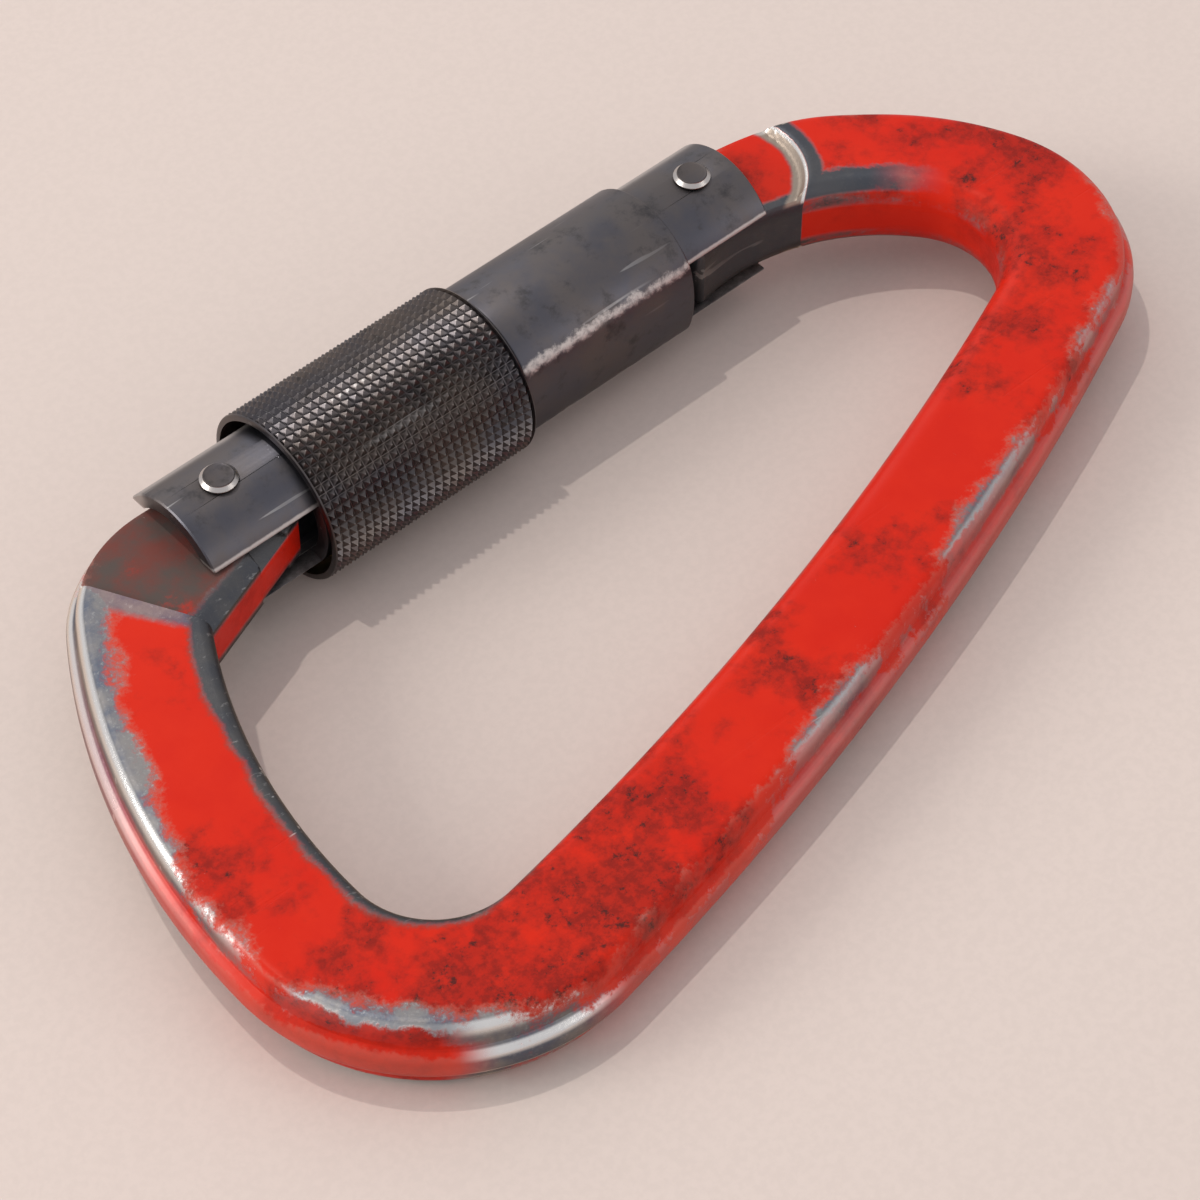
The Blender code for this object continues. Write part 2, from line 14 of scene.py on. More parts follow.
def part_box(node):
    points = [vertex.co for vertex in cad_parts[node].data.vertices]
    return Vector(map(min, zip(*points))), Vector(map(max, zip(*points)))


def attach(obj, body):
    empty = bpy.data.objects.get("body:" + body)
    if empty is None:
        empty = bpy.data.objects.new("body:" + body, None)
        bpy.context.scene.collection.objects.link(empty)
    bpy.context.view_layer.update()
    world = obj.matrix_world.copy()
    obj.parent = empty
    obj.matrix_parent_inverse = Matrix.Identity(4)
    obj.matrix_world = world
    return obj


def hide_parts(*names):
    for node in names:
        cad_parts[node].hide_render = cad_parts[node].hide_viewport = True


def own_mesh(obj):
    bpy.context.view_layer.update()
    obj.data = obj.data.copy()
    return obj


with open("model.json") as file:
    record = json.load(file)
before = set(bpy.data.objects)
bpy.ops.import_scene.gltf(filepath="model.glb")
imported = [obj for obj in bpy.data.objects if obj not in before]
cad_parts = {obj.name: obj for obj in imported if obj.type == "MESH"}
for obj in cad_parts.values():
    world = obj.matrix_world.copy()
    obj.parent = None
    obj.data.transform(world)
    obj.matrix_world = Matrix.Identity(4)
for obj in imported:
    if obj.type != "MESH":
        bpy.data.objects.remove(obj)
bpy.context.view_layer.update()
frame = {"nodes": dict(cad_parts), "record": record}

bl_info = {
    "name": "Screw-gate carabiner",
    "version": (1, 0, 0),
    "blender": (4, 5, 0),
    "location": "View3D > Sidebar > Carabiner",
    "description": "Builds the finished pieces of a worn locking carabiner on its CAD frame",
    "category": "Add Mesh",
}

MM = 0.001


def packed_joint(name):
    """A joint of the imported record."""
    for joint in frame["record"]["behaviour"]["joints"]:
        if joint["name"] == name:
            return joint
    raise RuntimeError("the packed record has no joint named " + name)


HINGE_PLACE = Vector(packed_joint("gate_swing")["pos_m"]) / MM
SPRING_BOX = [Vector(corner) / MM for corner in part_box("return_spring")]
SLEEVE_BOX = [Vector(corner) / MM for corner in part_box("lock_sleeve")]
BODY_BOX = [Vector(corner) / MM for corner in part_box("body_frame")]
TUBE_BOX = [Vector(corner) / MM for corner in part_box("gate_tube")]


# Cuts in the bar and the gate, mm and degrees
PIN_HOLE = 1.15
GROOVE_RADIUS = 1.3      # latch groove round a stud
GROOVE_MOUTH = 2.9       # the groove's mouth ahead of the stud
GROOVE_LENGTH = 7.5
GROOVE_FLOOR = 1.6       # mid-plane to the groove's floor
STOP_ANGLE = 208         # the gate's stop on the tongue
STOP_DROP = 4.85
NOSE_SLOT = 5.2          # latch pin to the slot's root
BARREL_BACK = 5.1        # barrel's end to the hinge pin
CHEEK = 3.1              # mid-plane to the fork's inner side
BEYOND = 9.0             # past every outside, for a cutter

SPRING_WIRE = 0.8
SPRING_TURNS = 6


# Sizes that a user would change

class BodySizes(bpy.types.PropertyGroup):
    """The forged bar."""
    pin_span: FloatProperty(name="Pin span", description="Latch pin to hinge pin, mm", default=47.7)
    bar_width: FloatProperty(name="Bar width", description="Across the bar, mm", default=10.7)
    half_thick: FloatProperty(name="Half thickness", description="Mid-plane to flat face, mm", default=3.4)
    tongue_half: FloatProperty(name="Tongue half thickness", description="At both tongues, mm", default=2.8)
    tongue_outer: FloatProperty(name="Tongue outer edge", description="From the gate axis, mm", default=4.5)
    nose_radius: FloatProperty(name="Nose radius", description="Outer bend at the nose, mm", default=12.0)
    heel_radius: FloatProperty(name="Heel radius", description="Outer bend at the heel, mm", default=17.5)
    spine_radius: FloatProperty(name="Spine radius", description="Slow curve of the spine, mm", default=300.0)
    bend_radius: FloatProperty(name="Bend radius", description="Outer bend by the hinge, mm", default=14.0)
    bend_drop: FloatProperty(name="Bend drop", description="Gate axis to bend centre, mm", default=17.2)
    bend_web: FloatProperty(name="Bend web", description="Bar width at the bend, mm", default=10.95)
    step_radius: FloatProperty(name="Hinge step radius", description="Middle of the hinge step, mm",
                               default=6.9)
    step_ahead: FloatProperty(name="Hinge step ahead", description="Hinge pin to step centre, mm",
                              default=3.6)
    step_rise: FloatProperty(name="Hinge step rise", description="Gate axis to step centre, mm", default=0.75)
    step_end: FloatProperty(name="Hinge step end", description="Where the step runs straight, degrees",
                            default=-60.0)
    red: FloatVectorProperty(name="Paint", description="Colour of the sound paint", subtype="COLOR",
                             default=(0.52, 0.0105, 0.0028))


class GateSizes(bpy.types.PropertyGroup):
    """The tubular gate."""
    tube_radius: FloatProperty(name="Tube radius", description="Outside of the tube, mm", default=5.9)
    tube_wall: FloatProperty(name="Tube wall", description="Wall of the tube, mm", default=1.2)
    barrel_step: FloatProperty(name="Barrel step", description="Barrel over tube, mm", default=0.6)
    side_step: FloatProperty(name="Side step", description="Barrel side over tube, mm", default=0.2)
    side_curve: FloatProperty(name="Side curve", description="Side radius over barrel radius", default=1.72)
    edge_round: FloatProperty(name="Edge rounding", description="Rounded edges, mm", default=0.14)
    steel: FloatVectorProperty(name="Steel", description="Colour of the dark steel", subtype="COLOR",
                               default=(0.100, 0.094, 0.096))


class SleeveSizes(bpy.types.PropertyGroup):
    """The knurled sleeve."""
    rows: IntProperty(name="Rows along", description="Pyramids along the sleeve", default=26, min=4)
    around: IntProperty(name="Pyramids around", description="Pyramids in one ring", default=58, min=8)
    height: FloatProperty(name="Knurl height", description="Height of a pyramid, mm", default=0.40)
    worn: FloatProperty(name="Worn tip", description="Flat on a tip as a share of its base", default=0.04)
    gunmetal: FloatVectorProperty(name="Gunmetal", description="Colour of the sleeve", subtype="COLOR",
                                  default=(0.085, 0.075, 0.071))


class StageSizes(bpy.types.PropertyGroup):
    """Floor, lights and camera."""
    floor: FloatVectorProperty(name="Floor", description="Colour of the floor", subtype="COLOR",
                               default=(0.585, 0.495, 0.445))
    lens: FloatProperty(name="Lens", description="Focal length, mm on a 36 mm sensor", default=118.6)
    sun: FloatProperty(name="Sun", description="Strength of the key light", default=0.72)
    sky: FloatProperty(name="Sky", description="Strength of the soft light all round", default=0.92)


def shift():
    """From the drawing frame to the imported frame."""
    return HINGE_PLACE - Vector((bpy.context.scene.body_sizes.pin_span, 0, 0))


# Material nodes

class Nodes:
    """Short calls for a node tree."""

    def __init__(self, tree):
        self.tree = tree

    def new(self, kind):
        """A new node."""
        return self.tree.nodes.new(kind)

    def put(self, socket, value):
        """Link an output, or set a number or colour."""
        if isinstance(value, bpy.types.NodeSocket):
            self.tree.links.new(value, socket)
        elif hasattr(value, "__len__") and socket.type == "RGBA":
            socket.default_value = (*value, 1.0)
        else:
            socket.default_value = value

    def math(self, operation, a, b=0.0, clamp=False):
        """A Math node."""
        node = self.new("ShaderNodeMath")
        node.operation = operation
        node.use_clamp = clamp
        self.put(node.inputs[0], a)
        self.put(node.inputs[1], b)
        return node.outputs[0]

    def plus(self, a, b):
        """The sum."""
        return self.math("ADD", a, b)

    def less(self, a, b, clamp=False):
        """The first less the second."""
        return self.math("SUBTRACT", a, b, clamp)

    def times(self, a, b):
        """The product."""
        return self.math("MULTIPLY", a, b)

    def most(self, a, b, clamp=False):
        """The larger one."""
        return self.math("MAXIMUM", a, b, clamp)

    def vector(self, *numbers):
        """A vector from up to three numbers."""
        node = self.new("ShaderNodeCombineXYZ")
        for socket, value in zip(node.inputs, numbers):
            self.put(socket, value)
        return node.outputs[0]

    def split(self, vector):
        """The three numbers of a vector."""
        node = self.new("ShaderNodeSeparateXYZ")
        self.put(node.inputs[0], vector)
        return node.outputs


class Shader(Nodes):
    """A Principled material and the nodes that feed it."""

    def __init__(self, name, metallic=0.0, roughness=0.5, colour=(0.5, 0.5, 0.5)):
        self.material = bpy.data.materials.new(name)
        self.material.use_nodes = True
        super().__init__(self.material.node_tree)
        self.out = self.tree.nodes["Principled BSDF"]
        self.out.inputs["Metallic"].default_value = metallic
        self.out.inputs["Roughness"].default_value = roughness
        self.out.inputs["Base Color"].default_value = (*colour, 1.0)
        self.place = self.new("ShaderNodeTexCoord").outputs["Object"]

    def set(self, name, value):
        """Feed one input of the Principled shader."""
        self.put(self.out.inputs[name], value)

    def fit(self, value, low, high, to_low=0.0, to_high=1.0, smooth=True):
        """A Map Range node, clamped."""
        node = self.new("ShaderNodeMapRange")
        node.interpolation_type = "SMOOTHSTEP" if smooth else "LINEAR"
        for socket, number in zip(node.inputs, (value, low, high, to_low, to_high)):
            self.put(socket, number)
        return node.outputs[0]

    def blend(self, factor, a, b):
        """A Mix node for colours."""
        node = self.new("ShaderNodeMix")
        node.data_type = "RGBA"
        self.put(node.inputs[0], factor)
        self.put(node.inputs[6], a)
        self.put(node.inputs[7], b)
        return node.outputs[2]

    def lerp(self, factor, a, b):
        """A Mix node for numbers."""
        node = self.new("ShaderNodeMix")
        self.put(node.inputs[0], factor)
        self.put(node.inputs[2], a)
        self.put(node.inputs[3], b)
        return node.outputs[0]

    def noise(self, scale, detail=4.0, rough=0.55, stretch=None, turn=0.0, offset=0.0):
        """Noise on the object's own coordinates; the scale is per metre."""
        node = self.new("ShaderNodeTexNoise")
        vector = self.place
        if stretch or turn or offset:
            mapping = self.new("ShaderNodeMapping")
            mapping.inputs["Scale"].default_value = stretch or (1, 1, 1)
            mapping.inputs["Rotation"].default_value = (0, 0, turn)
            mapping.inputs["Location"].default_value = (offset, offset * 0.7, offset * 1.3)
            self.put(mapping.inputs["Vector"], vector)
            vector = mapping.outputs[0]
        self.put(node.inputs["Vector"], vector)
        node.inputs["Scale"].default_value = scale
        node.inputs["Detail"].default_value = detail
        node.inputs["Roughness"].default_value = rough
        return node.outputs["Fac"]

    def curve(self, value, stops):
        """Numbers from 0 to 1 along a run of places from 0 to 1."""
        node = self.new("ShaderNodeValToRGB")
        ramp = node.color_ramp
        for _ in range(len(stops) - 2):
            ramp.elements.new(0.5)
        for element, (place, number) in zip(ramp.elements, stops):
            element.position = place
            element.color = (number, number, number, 1.0)
        self.put(node.inputs[0], value)
        return node.outputs[0]

    def uv(self, name):
        """The two numbers of a UV map."""
        node = self.new("ShaderNodeUVMap")
        node.uv_map = name
        return self.split(node.outputs[0])[:2]

    def axis_place(self):
        """Distance from the gate's axis, place across it and height, in millimetres."""
        place = self.split(self.place)
        side = self.less(self.math("DIVIDE", place[1], MM), HINGE_PLACE.y)
        height = self.math("DIVIDE", place[2], MM)
        square = self.plus(self.times(side, side), self.times(height, height))
        return self.math("SQRT", square), side, height

    def step_way(self, far_x, far_y, sizes):
        """How far a place lies beyond the hinge step, from its place seen from the hinge pin."""
        x = self.less(far_x, sizes.step_ahead)
        y = self.less(far_y, sizes.step_rise)
        leave = math.radians(sizes.step_end)
        away = self.math("SQRT", self.plus(self.times(x, x), self.times(y, y)))
        straight = self.plus(self.times(x, math.cos(leave)),
                             self.times(y, math.sin(leave)))
        turned_to = self.less(self.times(y, math.cos(leave)),
                              self.times(x, math.sin(leave)))
        return self.less(self.lerp(self.fit(turned_to, -0.01, 0.01), straight, away), sizes.step_radius)

    def scratches(self, scale, turn, keep=0.68, offset=0.0):
        """Thin marks in one direction."""
        fine = self.noise(scale, 2.0, 0.5, (0.06, 1.0, 1.0), turn, offset)
        mask = self.noise(scale * 0.05, 2.0, 0.5, None, 0.0, offset + 0.3)
        line = self.fit(fine, keep, keep + 0.03)
        return self.times(line, self.fit(mask, 0.5, 0.62))

    def bump(self, height, strength, distance):
        """Relief on the whole surface."""
        node = self.new("ShaderNodeBump")
        node.inputs["Strength"].default_value = strength
        node.inputs["Distance"].default_value = distance
        self.put(node.inputs["Height"], height)
        self.put(self.out.inputs["Normal"], node.outputs[0])


# Wear along the bar: (share of the run from the nose tip to the hinge tongue, amount)

OUTER_WEAR = [  # bare metal along the outer edge, in 5 mm
    (0.0, 0.0), (0.165, 0.1), (0.170, 0.72), (0.21, 0.64), (0.26, 0.52), (0.29, 0.40), (0.32, 0.22),
    (0.345, 0.20), (0.365, 0.50), (0.41, 0.58), (0.45, 0.30), (0.53, 0.06), (0.56, 0.44),
    (0.585, 0.10), (0.61, 0.46), (0.64, 0.14), (0.665, 0.34), (0.70, 0.16), (0.76, 0.22), (0.81, 0.10),
    (0.9, 0.16), (1.0, 0.1),
]
INNER_WEAR = [  # bare metal along the inner edge, in 5 mm
    (0.0, 0.1), (0.166, 0.42), (0.21, 0.40), (0.25, 0.26), (0.34, 0.22), (0.44, 0.20), (0.50, 0.03),
    (0.60, 0.0), (0.64, 0.0), (0.86, 0.0), (0.92, 0.04), (1.0, 0.05),
]
RIM_PAINT = [  # paint left on the outer wall
    (0.0, 0.6), (0.175, 0.0), (0.25, 0.35), (0.29, 0.8), (0.335, 1.0), (0.40, 1.0), (0.425, 1.0),
    (0.44, 0.0), (0.475, 0.0), (0.50, 0.85), (0.56, 0.75), (0.62, 0.85), (0.72, 0.7), (0.78, 0.3),
    (0.83, 0.8), (1.0, 0.9),
]
BEVEL_PAINT = [  # paint left on the outer bevel
    (0.0, 0.0), (0.31, 0.0), (0.335, 0.75), (0.36, 0.9), (0.42, 1.0), (0.432, 0.0), (0.475, 0.0),
    (0.49, 0.5), (0.54, 0.8), (0.56, 0.3), (0.60, 0.8), (0.62, 0.2), (0.68, 0.6), (0.78, 0.2),
    (1.0, 0.2),
]
STAIN_PLACES = [  # where the stains gather
    (0.0, 0.3), (0.16, 0.3), (0.22, 0.2), (0.33, 0.35), (0.42, 1.0), (0.50, 0.95), (0.54, 0.5),
    (0.58, 0.75), (0.62, 0.25), (0.66, 0.6), (0.72, 0.45), (0.80, 0.6), (0.86, 0.7), (1.0, 0.8),
]
POLISH = [  # where the bare edge is polished
    (0.0, 0.2), (0.17, 1.0), (0.28, 0.9), (0.34, 0.35), (0.42, 0.3), (0.435, 1.0), (0.48, 0.9),
    (0.50, 0.35), (0.78, 0.35), (0.80, 0.8), (0.86, 0.6), (1.0, 0.3),
]


def hinge_wear(s, way, run, outer, inner, tall, soft, top):
    """Bare steel at the hinge: a worn band on the face, a rubbed strip beyond the step, the polished step
    and the tongue's sides. The first mask is the dark steel, the second the step."""
    across = s.less(1.0, s.math("ABSOLUTE", s.math("DIVIDE", s.less(outer, 9.6), 2.1)))
    band = s.times(s.fit(s.plus(across, soft), 0.05, 0.5), s.fit(way, 12.0, 5.0))
    band = s.times(s.times(band, s.fit(way, 0.3, 0.5)), s.fit(run, 0.8, 0.82))
    beyond = s.times(s.fit(way, 0.3, 0.4), s.fit(run, 0.8, 0.82))
    strip = s.times(s.fit(s.less(way, s.times(soft, 0.6)), 1.8, 1.3), beyond)
    rim_dark = s.times(s.fit(s.less(outer, soft), 1.5, 1.0),
                      s.times(s.fit(way, 10.0, 6.0), beyond))
    tongue_end = s.times(s.fit(way, 0.4, 0.3), s.fit(run, 0.8, 0.82))
    step = s.times(tongue_end, s.fit(s.plus(way, s.times(soft, 0.35)), -1.15, -0.7))
    margin = s.most(s.fit(s.plus(inner, s.times(soft, 0.8)), 2.2, 1.5),
                    s.fit(s.plus(outer, soft), 0.9, 0.4))
    margin = s.times(margin, tongue_end)
    wall = s.times(s.fit(s.plus(way, soft), 0.15, -0.35), s.fit(tall, 2.72, 2.6))
    wall = s.times(wall, s.fit(run, 0.8, 0.82))
    hinge_dark = s.most(s.times(s.most(s.most(band, strip), rim_dark), top),
                        s.most(margin, wall))
    step = s.times(step, s.fit(tall, 2.3, 2.6))
    return hinge_dark, step


def burnt_stains(s, run, tall):
    """Masks of the brown stains and of the black specks in them."""
    where = s.plus(s.noise(85, 6, 0.66, offset=1.7), s.times(s.curve(run, STAIN_PLACES), 0.11))
    stain = s.fit(where, 0.53, 0.66)
    speck = s.fit(s.noise(900, 8, 0.75, offset=0.2), 0.42, 0.58)
    stain = s.times(stain, s.lerp(speck, 0.55, 1.0))
    stain = s.times(stain, s.fit(tall, 1.2, 2.6, 0.45, 1.0))
    black = s.times(s.fit(s.noise(700, 8, 0.8, offset=0.9), 0.55, 0.60), s.fit(stain, 0.35, 0.8))
    return stain, black


def bared_metal(s, way, run, outer, tall, patch, grain, inner_mask, dark, hinge_dark, step):
    """Colour of the bared steel, and masks of its polished places and fine marks."""
    polished = s.most(s.times(s.fit(outer, 1.75, 1.45), s.fit(outer, 0.9, 1.1)),
                      s.times(s.fit(outer, 0.7, 0.5), s.fit(tall, 0.5, 0.9)))
    polished = s.times(polished, s.curve(run, POLISH))
    lines = s.most(s.scratches(900, 0.5), s.scratches(1100, -0.9, 0.7, 0.5))
    metal = s.blend(s.fit(patch, 0.38, 0.62), (0.10, 0.115, 0.15), (0.21, 0.20, 0.195))
    metal = s.blend(s.fit(grain, 0.52, 0.78), metal, (0.36, 0.35, 0.34))
    metal = s.blend(s.times(dark, 0.8), metal, (0.06, 0.060, 0.062))
    hairs = s.times(s.fit(s.noise(2600, 3, 0.6, (0.35, 1.0, 1.0), 0.6, 0.9), 0.6, 0.72), inner_mask)
    metal = s.blend(s.times(hairs, 0.5), metal, (0.32, 0.31, 0.30))
    metal = s.blend(s.times(hinge_dark, 0.85), metal, (0.062, 0.065, 0.072))
    crest = s.times(step, s.fit(s.math("ABSOLUTE", s.less(way, 0.28)), 0.22, 0.08))
    metal = s.blend(step, metal, (0.33, 0.27, 0.22))
    polished = s.most(polished, crest)
    metal = s.blend(s.most(s.times(polished, 0.9), s.times(lines, 0.6)), metal,
                    (0.74, 0.72, 0.69))
    return metal, polished, lines


def worn_red_paint(red, sizes):
    """Red paint worn off the edges down to blue-grey steel, with burnt stains and specks."""
    s = Shader("worn_red_paint", 0.0, 0.4)
    run, outer = s.uv("Bar")
    inner, tall = s.uv("Rim")
    outer = s.times(outer, 20.0)
    inner = s.times(inner, 20.0)
    tall = s.times(tall, 5.0)
    place = s.split(s.place)
    far_x = s.less(s.math("DIVIDE", place[0], MM), HINGE_PLACE.x)
    far_y = s.less(s.math("DIVIDE", place[1], MM), HINGE_PLACE.y)
    way = s.step_way(far_x, far_y, sizes)
    cloud = s.noise(140, 5, 0.6)
    patch = s.noise(260, 6, 0.62, offset=0.4)
    grain = s.noise(2400, 7, 0.78)
    spray = s.plus(s.times(s.less(grain, 0.5), 2.6),
                   s.times(s.less(patch, 0.5), 5.0))
    soft = s.times(spray, 0.30)
    outer_wear = s.curve(run, OUTER_WEAR)
    inner_wear = s.curve(run, INNER_WEAR)
    outer_bare = s.plus(s.less(s.times(outer_wear, 5.0), outer), spray)
    inner_bare = s.less(s.times(inner_wear, 5.0), inner)
    inner_bare = s.plus(inner_bare, s.times(spray, 0.35))
    rim_red = s.times(s.fit(s.plus(tall, s.times(spray, 0.35)), 2.3, 1.5), s.curve(run, RIM_PAINT))
    bevel_red = s.times(s.fit(s.less(outer, soft), 1.45, 1.15), s.curve(run, BEVEL_PAINT))
    rim_red = s.most(rim_red, bevel_red)
    outer_mask = s.less(s.fit(outer_bare, -0.45, 0.6), rim_red, clamp=True)
    top = s.fit(tall, 2.35, 2.7)
    inner_mask = s.times(s.fit(inner_bare, -0.3, 0.35), s.fit(tall, 1.2, 1.9))
    hinge_dark, step = hinge_wear(s, way, run, outer, inner, tall, soft, top)
    nose = s.fit(run, 0.1665, 0.166)
    tongue_wear = s.times(nose, s.fit(s.plus(cloud, s.times(spray, 0.14)), 0.22, 0.5))
    facet = s.times(nose, s.times(s.fit(inner, 1.5, 1.25), s.fit(tall, 1.9, 2.0)))
    machined = s.fit(s.plus(outer, inner), 0.1, 0.05)
    bare = s.most(outer_mask, inner_mask)
    bare = s.most(bare, machined)
    bare = s.most(bare, s.most(hinge_dark, step))
    bare = s.most(bare, facet)
    nose_strip = s.times(s.fit(s.less(run, s.times(soft, 0.004)), 0.177, 0.172),
                        s.times(s.fit(run, 0.166, 0.1665), top))
    bare = s.most(bare, s.times(nose_strip, 0.9))
    spots = s.times(s.fit(grain, 0.66, 0.72), s.fit(cloud, 0.5, 0.62))
    bare = s.most(bare, s.times(spots, 0.7), clamp=True)
    stain, black = burnt_stains(s, run, tall)
    paint = s.blend(s.fit(cloud, 0.3, 0.7), (red[0] * 1.08, red[1] * 1.5, red[2] * 1.3), red)
    paint = s.blend(s.times(stain, 0.82), paint, (0.16, 0.008, 0.006))
    paint = s.blend(s.times(black, 0.8), paint, (0.022, 0.010, 0.010))
    tongue_paint = s.blend(s.fit(patch, 0.35, 0.65), (0.14, 0.040, 0.032), (0.075, 0.058, 0.052))
    paint = s.blend(s.times(tongue_wear, s.fit(tall, 1.9, 2.3)), paint, tongue_paint)
    fade = s.times(s.fit(s.plus(outer_bare, 0.7), -0.3, 0.5),
                  s.less(1.0, rim_red, clamp=True))
    fade = s.most(fade, s.times(s.fit(s.plus(outer, soft), 0.5, 0.2), 0.8))
    paint = s.blend(s.times(fade, 0.42), paint, (0.42, 0.13, 0.095))
    inner_fade = s.times(s.fit(s.plus(inner_bare, 0.6), 0.0, 0.5), s.fit(tall, 1.6, 2.4))
    paint = s.blend(s.times(inner_fade, 0.55), paint, (0.17, 0.045, 0.035))
    dark = s.most(inner_mask, machined)
    metal, polished, lines = bared_metal(s, way, run, outer, tall, patch, grain, inner_mask, dark,
                                         hinge_dark, step)
    s.set("Base Color", s.blend(bare, paint, metal))
    s.set("Metallic", s.times(bare, 0.9))
    dull = s.lerp(stain, s.lerp(s.fit(patch, 0.3, 0.7), 0.34, 0.46), 0.62)
    shine = s.lerp(polished, s.lerp(grain, 0.3, 0.52), 0.2)
    s.set("Roughness", s.lerp(bare, dull, shine))
    s.set("Specular IOR Level", 0.16)
    s.set("Specular Tint", (1.0, 0.86, 0.72))
    relief = s.plus(s.times(s.less(1.0, bare), 0.5),
                    s.times(grain, s.lerp(bare, 0.12, 0.3)))
    relief = s.less(relief, s.times(stain, 0.15))
    relief = s.less(relief, s.times(lines, 0.2))
    s.bump(relief, 0.55, 0.00012)
    return s.material


def scuffed_steel_and_sheen(name, colour, tip_radius=0.0, crease_wear_and_far_sheen=False, mix=1.0, flat_top=0.0):
    """Dark steel with blue and brown tints, fine marks and pale, frosted wear where it rubs; on the gate, a
    painted highlight also makes the far, sun-facing side of the barrel and of the cheeks pale.
    """
    s = Shader(name, 1.0, 0.4)
    away, side, height = s.axis_place()
    cloud = s.noise(150, 5, 0.6)
    fine = s.noise(2200, 6, 0.7)
    tint = s.blend(s.fit(cloud, 0.35, 0.65), [c * k for c, k in zip(colour, (0.86, 0.9, 1.02))],
                   [c * k for c, k in zip(colour, (1.2, 1.12, 1.05))])
    tint = s.blend(s.fit(s.noise(420, 6, 0.7, offset=0.6), 0.52, 0.72), tint, [c * 0.6 for c in colour])
    lines = s.most(s.scratches(1000, 0.3, 0.69, 0.2), s.scratches(1300, -0.7, 0.7, 0.8))
    lines = s.most(lines, s.scratches(800, 1.2, 0.7, 1.4))
    colour_out = s.blend(s.times(lines, 0.5 * mix), tint, (0.42, 0.41, 0.40))
    smooth, coarse = (0.27, 0.38) if tip_radius else (0.36, 0.52)
    rough = s.lerp(s.fit(cloud, 0.3, 0.7), smooth, coarse)
    pale_mask = None
    # Pale frosted wear along both creases and the cheeks' lower rims, plus a painted highlight on the far,
    # sun-facing side
    if crease_wear_and_far_sheen:
        worn = s.noise(330, 5, 0.65, offset=0.5)
        ratio = s.math("DIVIDE", s.math("ABSOLUTE", height), away)
        edge = s.math("ABSOLUTE", s.less(ratio, 0.56))
        ragged = s.times(s.less(s.noise(900, 6, 0.7, offset=0.1), 0.5), 0.22)
        near_edge = s.less(edge, s.times(s.less(worn, 0.5), 0.16))
        pale_mask = s.fit(s.plus(near_edge, ragged), 0.075, 0.015)
        pale_mask = s.times(pale_mask, s.lerp(s.fit(fine, 0.35, 0.6), 0.45, 1.0))
        # Painted highlight: a pale band on the barrel's far, sun-facing side, next to its outline
        far = s.times(s.fit(side, 2.5, 4.5), s.fit(s.plus(ratio, ragged), 0.30, 0.42))
        far = s.times(far, s.fit(ratio, 0.72, 0.62))
        pale_mask = s.most(pale_mask, s.times(far, 0.8))
        pale_mask = s.times(pale_mask, s.fit(away, 6.05, 6.2))
        rim = s.fit(s.plus(s.math("ABSOLUTE", s.less(s.math("ABSOLUTE", height), 3.25)),
                           s.times(ragged, 0.8)), 0.20, 0.06)
        # Painted highlight: the cheeks' far, sun-facing side made pale
        far_rim_highlight = s.times(s.fit(side, 2.6, 4.0), s.fit(s.plus(height, ragged), 5.1, 4.3))
        rim = s.most(rim, s.times(far_rim_highlight, 0.8))
        rim = s.times(rim, s.fit(away, 6.02, 5.98))
        pale_mask = s.most(pale_mask, s.times(rim, 0.85))
    if tip_radius:
        pale_mask = s.fit(s.plus(away, s.times(s.less(fine, 0.5), 0.08)),
                      tip_radius - 0.12, tip_radius - 0.01)
        pale_mask = s.times(pale_mask, 0.3)
    if flat_top:
        pale_mask = s.times(s.fit(s.math("ABSOLUTE", height), flat_top - 0.05, flat_top - 0.11), 0.9)
    if pale_mask is not None:
        # The pale colour is frosted wear, and on the gate's far side a painted highlight
        colour_out = s.blend(pale_mask, colour_out, (0.50, 0.465, 0.44))
        rough = s.lerp(pale_mask, rough, 0.5 if crease_wear_and_far_sheen else 0.3)
    s.set("Base Color", colour_out)
    s.set("Roughness", rough)
    relief = s.less(s.times(fine, 0.25), s.times(lines, 0.3))
    s.bump(relief, 0.35, 0.00008)
    return s.material


def turned_metal(name, colour, roughness):
    """Plain turned or drawn metal for the hidden pieces, with fine rings and slight staining."""
    s = Shader(name, 1.0, roughness)
    cloud = s.noise(300, 4, 0.6)
    rings = s.noise(3200, 2, 0.4, (1.0, 0.05, 0.05))
    s.set("Base Color", s.blend(s.fit(cloud, 0.4, 0.7), colour, [c * 0.6 for c in colour]))
    s.set("Roughness", s.lerp(rings, roughness - 0.08, roughness + 0.12))
    s.bump(rings, 0.2, 0.00005)
    return s.material


def floor_finish(colour):
    """A pale, matt floor with a very fine grain."""
    s = Shader("pale_floor", 0.0, 0.85)
    grain = s.noise(1500, 3, 0.6)
    wide = s.noise(9, 3, 0.5)
    pale = s.blend(wide, [c * 0.985 for c in colour], [min(1.0, c * 1.015) for c in colour])
    s.set("Base Color", s.blend(s.fit(grain, 0.35, 0.65), pale, [c * 0.965 for c in colour]))
    s.bump(grain, 0.08, 0.00005)
    return s.material


# Plane geometry of the bar

def polar(centre, radius, degrees):
    """A point at an angle on a circle."""
    angle = math.radians(degrees)
    return Vector((centre[0] + radius * math.cos(angle), centre[1] + radius * math.sin(angle)))


def arc(centre, radius, start, end, count=60):
    """Points along an arc, both ends included."""
    return [polar(centre, radius, start + (end - start) * i / count) for i in range(count + 1)]


def heading(centre, point):
    """The angle of a point seen from a centre, from 0 to 360 degrees."""
    return math.degrees(math.atan2(point[1] - centre[1], point[0] - centre[0])) % 360


